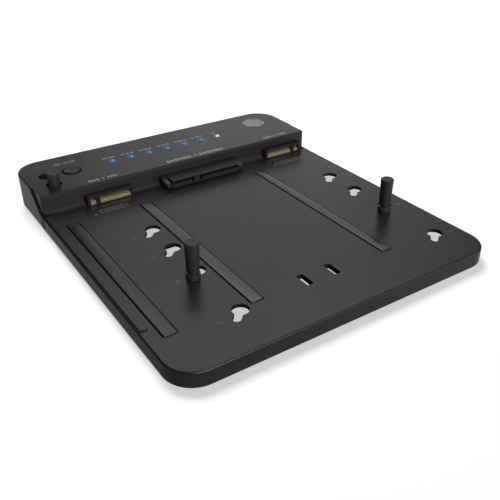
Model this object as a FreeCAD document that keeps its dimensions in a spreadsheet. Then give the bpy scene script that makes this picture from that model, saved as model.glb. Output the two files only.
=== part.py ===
"""Drive duplicator: a flat cloning station for one bare drive and two memory cards.

The origin is the middle of the footprint on the surface that the feet stand on.
X runs across the case, Y from the front edge to the rear wall, Z upwards.
Lengths are in millimetres.
"""
import FreeCAD, Part
import math
import os
import Sketcher
from FreeCAD import Placement, Rotation, Vector

# Driving sizes. Every other length is worked out from these.
SIZES = {
    # Case
    "case_width": 144.0,
    "case_depth": 164.5,
    "corner_radius": 11.5,
    "foot_proud": 1.5,
    "skirt_height": 6.2,
    "deck_rise": 9.1,
    "deck_depth": 39.2,
    "plate_thickness": 1.6,
    "wall_thickness": 2.0,
    "deck_thickness": 1.8,
    "plate_round": 0.7,
    "deck_round": 0.9,
    # Side cheeks that sweep up from the plate to the deck
    "cheek_inset": 0.9,
    "cheek_lead": 1.8,
    "cheek_run": 10.5,
    "cheek_blend": 4.0,
    "cove_radius": 2.0,
    # Ribs under the plate and the guide rib along its left side
    "rib_thickness": 1.2,
    "rib_height": 2.6,
    "rib_offset": 9.5,
    "guide_width": 3.1,
    "guide_height": 0.6,
    "guide_round": 0.7,
    "guide_ledge": 0.9,
    "guide_length": 97.0,
    # Grip strips on the plate
    "strip_length": 90.5,
    "strip_setback": 13.25,
    "strip_thickness": 1.3,
    "strip_proud": 0.4,
    "strip_gap": 0.4,
    "strip_round": 0.5,
    "strip_left_width": 5.2,
    "strip_left_inset": 8.85,
    "strip_centre_width": 5.1,
    "strip_centre_x": -28.75,
    "strip_right_width": 4.4,
    "strip_right_x": 33.5,
    # Card sockets, keyholes and retaining pins
    "socket_left_inset": 31.5,
    "socket_right_inset": 16.0,
    "card_seat": 1.45,
    "card_length_a": 42.0,
    "card_length_b": 60.0,
    "card_length_c": 80.0,
    "card_length_d": 110.0,
    "card_level": 3.05,
    "card_thickness": 0.8,
    "keyhole_shift": 4.0,
    "keyhole_diameter": 6.6,
    "neck_diameter": 3.0,
    "neck_clearance": 0.08,
    "pin_play": 0.1,
    "pin_height": 15.6,
    "pin_top_diameter": 5.6,
    "pin_waist_diameter": 4.6,
    "pin_foot_diameter": 6.2,
    "pin_head_diameter": 5.8,
    "pin_head_height": 1.2,
    "groove_depth": 0.6,
    "groove_height": 0.95,
    "well_inset": 10.4,
    "well_setback": 9.65,
    "well_pitch": 10.2,
    "well_diameter": 7.2,
    "well_wall": 1.1,
    "well_floor": 0.6,
    "well_mouth_depth": 2.4,
    # Strap slots
    "slot_width": 2.9,
    "slot_length": 7.5,
    "slot_spacing": 13.1,
    "slot_inset": 23.05,
    # Board and what it carries
    "board_level": 7.9,
    "board_thickness": 1.6,
    "board_left_inset": 16.0,
    "board_margin": 0.4,
    "boss_diameter": 5.6,
    "board_boss_left": 4.5,
    "board_boss_right": 4.0,
    "board_boss_front": 11.95,
    "board_boss_rear": 9.25,
    "cover_boss_left": 18.5,
    "cover_boss_right": 20.0,
    "cover_boss_front": 5.15,
    "corner_boss_side": 5.1,
    "corner_boss_rear": 6.85,
    "screw_diameter": 2.2,
    "screw_head": 4.2,
    "screw_head_height": 1.2,
    "screw_length": 5.0,
    "thread_clearance": 0.03,
    "hole_clearance": 0.3,
    # Card sockets
    "socket_width": 22.0,
    "socket_height": 4.6,
    "socket_proud": 3.0,
    "socket_depth": 9.6,
    "mouth_width": 19.5,
    "mouth_depth": 5.0,
    "key_width": 1.8,
    "key_offset": 6.1,
    "contact_pitch": 0.5,
    "contact_width": 0.28,
    "socket_rim": 0.3,
    "socket_roof": 0.8,
    "contact_tip": 0.35,
    "contact_reach": 3.6,
    "contact_bend": 1.2,
    "contact_lead": 0.8,
    # Drive receptacle
    "drive_proud": 8.05,
    "drive_depth": 12.0,
    "drive_left": -11.6,
    "drive_width": 36.6,
    "drive_bottom": 8.5,
    "drive_top": 12.2,
    "drive_slot_level": 11.0,
    "drive_slot_height": 1.3,
    "drive_slot_depth": 6.0,
    "signal_slot_width": 10.8,
    "power_slot_width": 21.1,
    "slot_margin": 0.8,
    "key_leg_width": 1.3,
    "key_leg_drop": 1.1,
    "drive_pitch": 1.27,
    "drive_contact_width": 0.8,
    "drive_contact_thickness": 0.3,
    "ear_width": 2.4,
    "ear_gap": 0.4,
    "ear_nose": 0.6,
    "ear_drop": 1.4,
    # Clone button and its switch
    "button_inset": 22.2,
    "button_setback": 19.65,
    "button_moat": 9.2,
    "button_diameter": 7.9,
    "button_proud": 0.3,
    "button_travel": 0.5,
    "button_depth": 1.9,
    "button_edge": 0.4,
    "button_stem": 4.0,
    "button_clearance": 0.06,
    "button_floor": 1.2,
    "button_lip": 5.2,
    "button_lip_height": 0.5,
    "switch_side": 6.2,
    "switch_height": 3.4,
    "plunger_diameter": 3.2,
    "plunger_depth": 1.4,
    "plunger_proud": 0.7,
    # Status lights
    "light_inset": 42.4,
    "light_pitch": 9.83,
    "light_setback": 19.85,
    "light_diameter": 2.4,
    "light_clearance": 0.06,
    "diode_width": 1.6,
    "diode_height": 0.7,
    # Rear sockets
    "port_inset": 0.3,
    "port_gap": 0.25,
    "data_port_x": -6.0,
    "data_port_width": 8.94,
    "data_port_height": 3.26,
    "data_port_depth": 7.3,
    "data_port_wall": 0.3,
    "data_port_round": 1.6,
    "tongue_width": 6.7,
    "tongue_thickness": 0.7,
    "tongue_depth": 5.8,
    "power_port_x": 18.0,
    "power_port_width": 9.0,
    "power_port_height": 6.6,
    "power_port_depth": 12.0,
    "power_bore": 5.6,
    "power_bore_depth": 9.5,
    "power_pin_diameter": 2.0,
    "power_pin_length": 8.2,
    # Power switch in the rear wall
    "slider_x": 38.0,
    "slider_travel": 2.2,
    "slider_width": 3.0,
    "slider_height": 1.9,
    "slider_reach": 3.4,
    "slider_recess": 0.9,
    "slider_gap": 0.08,
    "slider_body_width": 9.4,
    "slider_body_height": 4.4,
    "slider_body_depth": 4.6,
    # Cover and feet
    "cover_thickness": 1.8,
    "cover_gap": 0.2,
    "foot_diameter": 9.0,
    "foot_seat": 0.5,
    "foot_inset": 10.0,
    "foot_front": 8.75,
    "foot_rear": 16.25,
    "foot_pad_margin": 0.8,
    # Parts on the board
    "chip_size": 8.0,
    "chip_height": 0.9,
    "coil_size": 6.6,
    "coil_round": 1.3,
    "coil_height": 3.2,
    "chip_first_x": 4.0,
    "chip_front": 5.9,
    "chip_second_x": -20.0,
    "chip_rear": 10.25,
    "coil_first": 30.0,
    "coil_second": 11.5,
    "coil_front": 6.4,
}

doc = FreeCAD.newDocument("drive_duplicator")
sheet = doc.addObject("Spreadsheet::Sheet", "Sizes")
for row, (alias, size) in enumerate(SIZES.items(), start=1):
    sheet.set(f"A{row}", alias)
    sheet.set(f"B{row}", str(size))
    sheet.setAlias(f"B{row}", alias)
doc.recompute()


class Length:
    """A length that carries its number and its formula in the sheet."""

    def __init__(self, number, formula):
        self.number = number
        self.formula = formula

    def joined(self, other, sign, number):
        return Length(number, f"({self.formula} {sign} {as_length(other).formula})")

    def __add__(self, other):
        return self.joined(other, "+", self.number + as_length(other).number)

    def __sub__(self, other):
        return self.joined(other, "-", self.number - as_length(other).number)

    def __mul__(self, other):
        return self.joined(other, "*", self.number * as_length(other).number)

    def __truediv__(self, other):
        return self.joined(other, "/", self.number / as_length(other).number)

    def __radd__(self, other):
        return as_length(other) + self

    def __rsub__(self, other):
        return as_length(other) - self

    def __rmul__(self, other):
        return as_length(other) * self

    def __neg__(self):
        return as_length(0) - self


def as_length(value):
    """Give a plain number the form of a length."""
    if isinstance(value, Length):
        return value
    return Length(float(value), f"{float(value):.12g}")


class Sizes:
    """Every driving size as an attribute."""

    def __getattr__(self, alias):
        return Length(sheet.get(alias), f"Sizes.{alias}")


s = Sizes()
nodes = []

# Levels and planes that several pieces share
SIDE = s.case_width / 2
REAR = s.case_depth / 2
FRONT = -REAR
SKIRT_BOTTOM = s.foot_proud
PLATE_TOP = s.foot_proud + s.skirt_height
PLATE_BOTTOM = PLATE_TOP - s.plate_thickness
DECK_TOP = PLATE_TOP + s.deck_rise
DECK_BOTTOM = DECK_TOP - s.deck_thickness
DECK_FRONT = REAR - s.deck_depth
BAY_FRONT = DECK_FRONT + s.wall_thickness
BAY_REAR = REAR - s.wall_thickness
BAY_SIDE = SIDE - s.wall_thickness - s.cheek_inset
BAY_RADIUS = s.corner_radius - s.wall_thickness - s.cheek_inset
COVER_TOP = SKIRT_BOTTOM + s.cover_thickness
BOARD_TOP = s.board_level
BOARD_BOTTOM = BOARD_TOP - s.board_thickness
CARD_LEVEL = PLATE_TOP + s.card_level
WELL_FLOOR = COVER_TOP + s.well_floor
BUTTON_FLOOR = DECK_TOP - s.button_depth
SLIDER_LEVEL = BOARD_TOP + s.slider_body_height / 2
DRIVE_RIGHT = s.drive_left + s.drive_width
DRIVE_OUTER_LEFT = s.drive_left - s.ear_gap - s.ear_width
DRIVE_OUTER_RIGHT = DRIVE_RIGHT + s.ear_gap + s.ear_width
DRIVE_FRONT = DECK_FRONT - s.drive_proud
CARD_LENGTHS = (s.card_length_a, s.card_length_b, s.card_length_c, s.card_length_d)
SOCKET_LEFT = s.socket_left_inset - SIDE
SOCKET_RIGHT = SIDE - s.socket_right_inset
SOCKETS = (("left", SOCKET_LEFT, -1), ("right", SOCKET_RIGHT, 1))
CARD_END = DECK_FRONT + s.card_seat
STRIP_REAR = DECK_FRONT - s.strip_setback
WELL_X = s.well_inset - SIDE
BUTTON = (s.button_inset - SIDE, REAR - s.button_setback)
LIGHT_Y = REAR - s.light_setback
FOOT_X = SIDE - s.foot_inset
FOOT_FRONT = FRONT + s.foot_front
FOOT_REAR = REAR - s.foot_rear
STRIPS = (
    ("left", s.strip_left_inset - SIDE, s.strip_left_width),
    ("centre", s.strip_centre_x, s.strip_centre_width),
    ("right", s.strip_right_x, s.strip_right_width),
)
BOARD_BOSSES = [
    (x, y)
    for x in (SOCKET_LEFT + s.board_boss_left, SOCKET_RIGHT - s.board_boss_right)
    for y in (DECK_FRONT + s.board_boss_front, REAR - s.board_boss_rear)
]
COVER_BOSSES = [
    (SOCKET_LEFT + s.cover_boss_left, BAY_FRONT + s.cover_boss_front),
    (SOCKET_RIGHT - s.cover_boss_right, BAY_FRONT + s.cover_boss_front),
    (s.corner_boss_side - BAY_SIDE, BAY_REAR - s.corner_boss_rear),
    (BAY_SIDE - s.corner_boss_side, BAY_REAR - s.corner_boss_rear),
]
WELLS = [DECK_FRONT + s.well_setback + k * s.well_pitch for k in range(2)]
LIGHTS = [s.light_inset - SIDE + k * s.light_pitch for k in range(7)]
SAME = 0.01
CARD_CONTACTS = {"short": 5, "long": 29}
DRIVE_CONTACTS = {"signal": 7, "power": 15}
AXES = {
    "x": Rotation(Vector(0, 1, 0), 90),
    "y": Rotation(Vector(1, 0, 0), -90),
    "z": Rotation(),
}


def bind(item, prop, length):
    """Tie one property of an object to its formula in the sheet."""
    item.setExpression(prop, as_length(length).formula)


def place(item, corner, turn=None):
    """Put an object at a point, turned by a fixed rotation if one is given."""
    item.Placement = Placement(Vector(), turn or Rotation())
    for axis, length in zip("xyz", corner):
        bind(item, f"Placement.Base.{axis}", length)


def box(name, x, y, z):
    """A block between two values along each axis."""
    item = doc.addObject("Part::Box", name)
    place(item, (x[0], y[0], z[0]))
    for prop, span in zip(("Length", "Width", "Height"), (x, y, z)):
        bind(item, prop, as_length(span[1]) - span[0])
    return item


def rod(name, base, diameter, length, axis="z"):
    """A cylinder from a point along one axis."""
    item = doc.addObject("Part::Cylinder", name)
    place(item, base, AXES[axis])
    bind(item, "Radius", diameter / 2)
    bind(item, "Height", length)
    return item


def fuse(name, shapes):
    """One object out of several, joined where they touch."""
    item = doc.addObject("Part::MultiFuse", name)
    item.Shapes = shapes
    return item


def cut(name, base, tools):
    """An object with others taken out of it."""
    item = doc.addObject("Part::Cut", name)
    item.Base = base
    item.Tool = tools[0] if len(tools) == 1 else fuse(name + "_tools", tools)
    return item


def node(item, label):
    """Name a finished sub-part."""
    item.Label = label
    nodes.append(item)
    return item


def sketch_on(body, name, plane, offset):
    """A sketch on one of the body's own origin planes, moved along its normal."""
    item = body.newObject("Sketcher::SketchObject", name)
    planes = {feature.Role: feature for feature in body.Origin.OriginFeatures}
    item.AttachmentSupport = [(planes[plane + "_Plane"], "")]
    item.MapMode = "FlatFace"
    bind(item, "AttachmentOffset.Base.z", offset)
    return item


def fix(sketch, kind, *where, size=None):
    """Add a constraint, tied to a size if it has one."""
    if size is None:
        sketch.addConstraint(Sketcher.Constraint(kind, *where))
        return
    size = as_length(size)
    index = sketch.addConstraint(Sketcher.Constraint(kind, *where, size.number))
    sketch.setExpression(f"Constraints[{index}]", size.formula)


def outline(body, name, plane, offset, corners):
    """A closed outline through corners of (x, y) or (x, y, radius).

    Each side is a line. A corner with a radius gets an arc tangent to both sides,
    and its sharp point stays as construction that holds the sides in place.
    """
    sketch = sketch_on(body, name, plane, offset)
    count = len(corners)
    points = [Vector(as_length(c[0]).number, as_length(c[1]).number, 0) for c in corners]
    radii = [c[2] if len(c) == 3 else None for c in corners]
    starts, ends, arcs = [], [], []
    for k, point in enumerate(points):
        back = (points[k - 1] - point).normalize()
        ahead = (points[(k + 1) % count] - point).normalize()
        if radii[k] is None:
            starts.append(point)
            ends.append(point)
            arcs.append(None)
            continue
        radius = as_length(radii[k]).number
        half = back.getAngle(ahead) / 2
        first = point + back * (radius / math.tan(half))
        last = point + ahead * (radius / math.tan(half))
        bisector = (back + ahead).normalize()
        centre = point + bisector * (radius / math.sin(half))
        arcs.append(Part.Arc(first, centre - bisector * radius, last))
        ends.append(first)
        starts.append(last)
    sides = [
        sketch.addGeometry(Part.LineSegment(starts[k], ends[(k + 1) % count]))
        for k in range(count)
    ]
    for k, corner in enumerate(corners):
        before, after = sides[k - 1], sides[k]
        if arcs[k] is None:
            fix(sketch, "Coincident", before, 2, after, 1)
            fix(sketch, "DistanceX", -1, 1, after, 1, size=corner[0])
            fix(sketch, "DistanceY", -1, 1, after, 1, size=corner[1])
            continue
        arc = sketch.addGeometry(arcs[k])
        mark = sketch.addGeometry(Part.Point(points[k]), True)
        fix(sketch, "DistanceX", -1, 1, mark, 1, size=corner[0])
        fix(sketch, "DistanceY", -1, 1, mark, 1, size=corner[1])
        fix(sketch, "PointOnObject", mark, 1, before)
        fix(sketch, "PointOnObject", mark, 1, after)
        anticlockwise = (ends[k] - points[k]).cross(starts[k] - points[k]).z < 0
        near, far = (1, 2) if anticlockwise else (2, 1)
        fix(sketch, "Tangent", before, 2, arc, near)
        fix(sketch, "Tangent", arc, far, after, 1)
        fix(sketch, "Radius", arc, size=radii[k])
    return sketch


def rectangle(x, y, radius=None):
    """The corners of a rectangle, anticlockwise, with one radius for all."""
    turns = ((0, 0), (1, 0), (1, 1), (0, 1))
    corners = [(x[i], y[j]) for i, j in turns]
    return corners if radius is None else [corner + (radius,) for corner in corners]


def pad(body, sketch, length, operation="PartDesign::Pad", backwards=False):
    """Add or remove the prism of a sketch."""
    item = body.newObject(operation, sketch.Name + "_prism")
    item.Profile = sketch
    item.Reversed = backwards
    bind(item, "Length", length)
    doc.recompute()
    return item


def turned(name, corners, at=None):
    """A body turned about an upright axis from half its section."""
    body = doc.addObject("PartDesign::Body", name)
    section = outline(body, name + "_section", "XZ", 0, corners)
    item = body.newObject("PartDesign::Revolution", name + "_turned")
    item.Profile = section
    item.ReferenceAxis = (section, ["V_Axis"])
    item.Angle = 360
    if at is not None:
        place(body, at)
    return body


def rounded(body, name, radius, wanted):
    """Round the edges of a body that a test picks out."""
    doc.recompute()
    tip = body.Tip
    edges = [f"Edge{k}" for k, edge in enumerate(tip.Shape.Edges, start=1) if wanted(edge)]
    item = body.newObject("PartDesign::Fillet", name)
    item.Base = (tip, edges)
    bind(item, "Radius", radius)
    body.Tip = item
    doc.recompute()
    return item


def repeated(body, feature, direction, pitch, count):
    """Repeat a feature of a body along one direction."""
    item = body.newObject("PartDesign::LinearPattern", feature.Name + "_row")
    item.Originals = [feature]
    item.Direction = direction
    item.Mode = "Spacing"
    item.Occurrences = round(count)
    bind(item, "Offset", pitch)
    body.Tip = item
    return item


def case_outline(inset):
    """The corners of the case's footprint, moved in by a wall."""
    inset = as_length(inset)
    return rectangle(
        (inset - SIDE, SIDE - inset), (FRONT + inset, REAR - inset), s.corner_radius - inset
    )


def shell_form():
    """The outer form: skirt and plate, deck, and cheeks that sweep up beside the deck."""
    body = doc.addObject("PartDesign::Body", "ShellForm")
    footprint = outline(body, "Footprint", "XY", SKIRT_BOTTOM, case_outline(0))
    pad(body, footprint, s.skirt_height)

    deck_corners = rectangle((-SIDE, SIDE), (DECK_FRONT, REAR))
    deck_plan = deck_corners[:2] + [corner + (s.corner_radius,) for corner in deck_corners[2:]]
    deck = outline(body, "DeckPlan", "XY", SKIRT_BOTTOM, deck_plan)
    pad(body, deck, DECK_TOP - SKIRT_BOTTOM)

    start = DECK_FRONT + s.cheek_lead
    summit = start + s.cheek_run
    beyond = summit + 2 * s.cheek_blend
    above = DECK_TOP + s.deck_thickness
    side_view = [
        (DECK_FRONT - s.cheek_lead, PLATE_TOP),
        (start, PLATE_TOP, s.cheek_blend),
        (summit, DECK_TOP, s.cheek_blend),
        (beyond, DECK_TOP),
        (beyond, above),
        (DECK_FRONT - s.cheek_lead, above),
    ]
    for name, plane, backwards in (("Left", -SIDE, True), ("Right", SIDE, False)):
        sweep = outline(body, name + "Sweep", "YZ", plane, side_view)
        pad(body, sweep, s.cheek_inset, "PartDesign::Pocket", backwards)

    rounded(body, "DeckEdges", s.deck_round, is_deck_edge)
    rounded(body, "RimEdge", s.plate_round, is_rim)
    return body


def near(first, second):
    """Whether two values are the same but for rounding."""
    return abs(first - as_length(second).number) < SAME


def halfway(edge):
    """The point halfway along an edge."""
    return edge.valueAt((edge.FirstParameter + edge.LastParameter) / 2)


def is_deck_edge(edge):
    """The top edge of the deck's front face and the two upright edges at its ends."""
    middle = halfway(edge)
    if not near(middle.y, DECK_FRONT):
        return False
    upright = edge.BoundBox.ZLength > s.deck_rise.number / 2
    at_end = near(abs(middle.x), SIDE - s.cheek_inset)
    return near(middle.z, DECK_TOP) or (upright and at_end)


def is_rim(edge):
    """The loop along the plate's outer edge, up both cheeks and round the deck."""
    middle = halfway(edge)
    reach = s.corner_radius.number
    across = max(abs(middle.x) - SIDE.number + reach, 0)
    along = max(abs(middle.y) - REAR.number + reach, 0)
    upright = edge.BoundBox.XLength < SAME and edge.BoundBox.YLength < SAME
    on_outside = near(math.hypot(across, along), s.corner_radius)
    return on_outside and not upright and edge.BoundBox.ZMin > PLATE_TOP.number - SAME


def prism(name, x, y, z, radius):
    """A block with its four upright edges rounded."""
    body = doc.addObject("PartDesign::Body", name)
    sketch = outline(body, name + "_plan", "XY", z[0], rectangle(x, y, radius))
    pad(body, sketch, as_length(z[1]) - z[0])
    return body


def extruded(name, plane, offset, corners, length, backwards=False):
    """A body made from one outline carried straight along its normal."""
    body = doc.addObject("PartDesign::Body", name)
    form = outline(body, name + "_outline", plane, offset, corners)
    pad(body, form, length, backwards=backwards)
    return body


def hollows():
    """The tray under the plate and the bay inside the deck."""
    lower = SKIRT_BOTTOM - s.foot_proud
    tray = rectangle((s.wall_thickness - SIDE, SIDE - s.wall_thickness),
                     (FRONT + s.wall_thickness, DECK_FRONT))
    radius = s.corner_radius - s.wall_thickness
    tray = [corner + (radius,) for corner in tray[:2]] + tray[2:]
    bay = rectangle((-BAY_SIDE, BAY_SIDE), (BAY_FRONT, BAY_REAR))
    bay = bay[:2] + [corner + (BAY_RADIUS,) for corner in bay[2:]]
    return [
        extruded("TrayHollow", "XY", lower, tray, PLATE_BOTTOM - lower),
        extruded("BayHollow", "XY", lower, bay, DECK_BOTTOM - lower),
    ]


def plate_ribs():
    """Ribs under the plate, clear of the keyholes and strap slots."""
    bottom = PLATE_BOTTOM - s.rib_height
    half = s.rib_thickness / 2
    front = FRONT + s.wall_thickness / 2
    inner = SIDE - s.wall_thickness / 2
    beside_slots = s.slot_spacing / 2 + s.slot_length
    columns = (
        SOCKET_LEFT - s.rib_offset,
        -beside_slots,
        beside_slots,
        SOCKET_RIGHT - s.rib_offset,
    )
    ribs = []
    z = (bottom, PLATE_BOTTOM)
    for k, x in enumerate(columns):
        ribs.append(box(f"RibAlong{k}", (x - half, x + half), (front, BAY_FRONT), z))
    lengths = (as_length(0),) + CARD_LENGTHS
    for k in range(len(CARD_LENGTHS)):
        y = CARD_END + s.keyhole_shift / 2 - (lengths[k] + lengths[k + 1]) / 2
        ribs.append(box(f"RibAcross{k}", (-inner, inner), (y - half, y + half), z))
    return ribs


def guide_rib():
    """The low rib that the left edge of a drive rests against."""
    left = s.guide_ledge - SIDE
    plan = rectangle((left, left + s.guide_width), (DECK_FRONT - s.guide_length, BAY_FRONT))
    plan = [corner + (s.guide_round,) for corner in plan[:2]] + plan[2:]
    tall = PLATE_TOP + s.guide_height - PLATE_BOTTOM
    return extruded("GuideRib", "XY", PLATE_BOTTOM, plan, tall)


def cove():
    """The hollow fillet at the foot of the deck's front face."""
    inner = SIDE - s.cheek_inset - s.deck_round
    block = box(
        "CoveBlock",
        (-inner, inner),
        (DECK_FRONT - s.cove_radius, BAY_FRONT),
        (PLATE_BOTTOM, PLATE_TOP + s.cove_radius),
    )
    centre = (-SIDE, DECK_FRONT - s.cove_radius, PLATE_TOP + s.cove_radius)
    return cut("Cove", block, [rod("CoveRound", centre, 2 * s.cove_radius, s.case_width, "x")])


def bosses():
    """Screw bosses, storage wells, the button's seat and the pads of the front feet."""
    parts = []
    tall = DECK_BOTTOM - BOARD_TOP
    for k, (x, y) in enumerate(BOARD_BOSSES):
        parts.append(rod(f"BoardBoss{k}", (x, y, BOARD_TOP), s.boss_diameter, tall))
    tall = DECK_BOTTOM - COVER_TOP
    for k, (x, y) in enumerate(COVER_BOSSES):
        parts.append(rod(f"CoverBoss{k}", (x, y, COVER_TOP), s.boss_diameter, tall))
    outer = well_bore() + 2 * s.well_wall
    for k, y in enumerate(WELLS):
        parts.append(rod(f"Well{k}", (WELL_X, y, COVER_TOP), outer, tall))
    seat = BUTTON + (BUTTON_FLOOR - s.button_floor,)
    parts.append(rod("ButtonSeat", seat, s.button_moat + 2 * s.button_floor, DECK_BOTTOM - seat[2]))
    size = s.foot_diameter + 2 * s.foot_pad_margin
    tall = PLATE_BOTTOM - SKIRT_BOTTOM
    for k, x in enumerate((-FOOT_X, FOOT_X)):
        parts.append(rod(f"FootPad{k}", (x, FOOT_FRONT, SKIRT_BOTTOM), size, tall))
    return parts


def well_bore():
    """The bore that a retaining pin's head and foot drop into."""
    return s.pin_foot_diameter + 2 * s.pin_play


def keyhole(name, x, y):
    """A round entry with a narrow slot that runs diagonally to the pin's seat."""
    z = PLATE_BOTTOM - s.rib_height
    depth = PLATE_TOP - z + s.plate_thickness
    width = s.neck_diameter + 2 * s.neck_clearance
    entry = (x + s.keyhole_shift, y + s.keyhole_shift, z)
    slot = doc.addObject("Part::Box", name + "_slot")
    bind(slot, "Length", s.keyhole_shift * math.sqrt(2))
    bind(slot, "Width", width)
    bind(slot, "Height", depth)
    half = width / (2 * math.sqrt(2))
    place(slot, (x + half, y - half, z), Rotation(Vector(0, 0, 1), 45))
    return [
        rod(name + "_entry", entry, s.keyhole_diameter, depth),
        rod(name + "_seat", (x, y, z), width, depth),
        slot,
    ]


def plate_cuts():
    """Keyholes, strap slots and the shallow pockets of the grip strips."""
    cuts = []
    for side, x, _ in SOCKETS:
        for k, length in enumerate(CARD_LENGTHS):
            cuts += keyhole(f"Keyhole_{side}{k}", x, CARD_END - length)
    above = PLATE_TOP + s.plate_thickness
    slot_y = FRONT + s.slot_inset
    for k, x in enumerate((-s.slot_spacing / 2, s.slot_spacing / 2)):
        across = (x - s.slot_width / 2, x + s.slot_width / 2)
        along = (slot_y - s.slot_length / 2, slot_y + s.slot_length / 2)
        cuts.append(prism(f"StrapSlot{k}", across, along, (SKIRT_BOTTOM, above), s.slot_width / 5))
    floor = PLATE_TOP - s.strip_thickness + s.strip_proud
    for side, x, width in STRIPS:
        across, along = strip_plan(x, width, s.strip_gap)
        radius = s.strip_round + s.strip_gap
        cuts.append(prism(f"StripPocket_{side}", across, along, (floor, above), radius))
    for k, x in enumerate((-FOOT_X, FOOT_X)):
        size = s.foot_diameter + 2 * s.pin_play
        cuts.append(rod(f"FootSeat{k}", (x, FOOT_FRONT, 0), size, SKIRT_BOTTOM + s.foot_seat))
    return cuts


def strip_plan(x, width, gap):
    """The span of a grip strip across and along the plate, with a gap all round."""
    across = (x - width / 2 - gap, x + width / 2 + gap)
    along = (STRIP_REAR - s.strip_length - gap, STRIP_REAR + gap)
    return across, along


def deck_cuts():
    """Openings in the deck's face and top, with the pilot holes of its bosses."""
    cuts = []
    face = (DECK_FRONT - 2 * s.cove_radius, BAY_FRONT + s.port_gap)
    for side, x, _ in SOCKETS:
        half = s.socket_width / 2 + s.port_gap
        top = BOARD_TOP + s.socket_height + s.port_gap
        cuts.append(box(f"SocketOpening_{side}", (x - half, x + half), face, (PLATE_TOP, top)))
    across = (DRIVE_OUTER_LEFT - s.port_gap, DRIVE_OUTER_RIGHT + s.port_gap)
    cuts.append(box("DriveOpening", across, face, (PLATE_TOP, s.drive_top + s.port_gap)))
    above = DECK_TOP + s.deck_thickness
    hole = s.light_diameter + 2 * s.light_clearance
    for k, x in enumerate(LIGHTS):
        cuts.append(rod(f"LightHole{k}", (x, LIGHT_Y, DECK_BOTTOM), hole, above - DECK_BOTTOM))
    cuts.append(rod("ButtonMoat", BUTTON + (BUTTON_FLOOR,), s.button_moat, above - BUTTON_FLOOR))
    below = BUTTON_FLOOR - s.button_floor
    stem = s.button_stem + 2 * s.button_clearance
    cuts.append(rod("ButtonBore", BUTTON + (below,), stem, above - below))
    for k, y in enumerate(WELLS):
        cuts.append(rod(f"WellBore{k}", (WELL_X, y, WELL_FLOOR), well_bore(), above - WELL_FLOOR))
        mouth = (WELL_X, y, DECK_TOP - s.well_mouth_depth)
        cuts.append(rod(f"WellMouth{k}", mouth, s.well_diameter, above - mouth[2]))
    pilot = s.screw_diameter + 2 * s.thread_clearance
    for k, (x, y) in enumerate(BOARD_BOSSES):
        cuts.append(rod(f"BoardPilot{k}", (x, y, BOARD_TOP), pilot, s.screw_length))
    for k, (x, y) in enumerate(COVER_BOSSES):
        cuts.append(rod(f"CoverPilot{k}", (x, y, COVER_TOP), pilot, s.screw_length))
    return cuts


def rear_cuts():
    """Openings in the rear wall for the two ports and the power switch."""
    back = (BAY_REAR - s.port_gap, REAR + s.wall_thickness)
    half = s.data_port_width / 2 + s.port_gap
    z = (BOARD_TOP - s.port_gap, BOARD_TOP + s.data_port_height + s.port_gap)
    x = (s.data_port_x - half, s.data_port_x + half)
    radius = s.data_port_height / 2
    data = extruded("DataOpening", "XZ", -back[1], rectangle(x, z, radius), back[1] - back[0])
    half = s.power_port_width / 2 + s.port_gap
    power = box(
        "PowerOpening",
        (s.power_port_x - half, s.power_port_x + half),
        back,
        (BOARD_TOP - s.port_gap, BOARD_TOP + s.power_port_height + s.port_gap),
    )
    half = (s.slider_width + s.slider_travel) / 2 + s.slider_gap
    tall = s.slider_height / 2 + s.slider_gap
    slot = box(
        "SliderSlot",
        (s.slider_x - half, s.slider_x + half),
        back,
        (SLIDER_LEVEL - tall, SLIDER_LEVEL + tall),
    )
    half = half + s.slider_recess
    tall = tall + s.slider_recess
    dish = prism_along_y(
        "SliderDish",
        (s.slider_x - half, s.slider_x + half),
        (REAR - s.slider_recess, back[1]),
        (SLIDER_LEVEL - tall, SLIDER_LEVEL + tall),
        s.slider_recess,
    )
    return [data, power, slot, dish]


def prism_along_y(name, x, y, z, radius):
    """A block with its four edges along Y rounded."""
    return extruded(name, "XZ", -as_length(y[1]), rectangle(x, z, radius), as_length(y[1]) - y[0])


def top_shell():
    """The one-piece moulding: plate, skirt, deck, cheeks, ribs, bosses and wells."""
    walls = cut("ShellWalls", shell_form(), hollows())
    solid = fuse("ShellSolid", [walls, guide_rib(), cove()] + plate_ribs() + bosses())
    node(cut("TopShell", solid, plate_cuts() + deck_cuts() + rear_cuts()), "top_shell")


def bottom_cover():
    """The plate that closes the bay, with countersinks and the seats of the rear feet."""
    gap = s.cover_gap
    plan = rectangle((gap - BAY_SIDE, BAY_SIDE - gap), (BAY_FRONT + gap, BAY_REAR - gap))
    plan = plan[:2] + [corner + (BAY_RADIUS - gap,) for corner in plan[2:]]
    plate = extruded("CoverPlate", "XY", SKIRT_BOTTOM, plan, s.cover_thickness)
    holes = []
    for k, (x, y) in enumerate(COVER_BOSSES):
        shank = s.screw_diameter + 2 * s.thread_clearance
        head = s.screw_head + 2 * s.thread_clearance
        holes.append(rod(f"CoverHole{k}", (x, y, 0), shank, 2 * COVER_TOP))
        holes.append(rod(f"CoverSink{k}", (x, y, 0), head, SKIRT_BOTTOM + s.screw_head_height))
    for k, x in enumerate((-FOOT_X, FOOT_X)):
        size = s.foot_diameter + 2 * s.pin_play
        holes.append(rod(f"CoverSeat{k}", (x, FOOT_REAR, 0), size, SKIRT_BOTTOM + s.foot_seat))
    node(cut("BottomCover", plate, holes), "bottom_cover")


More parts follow.
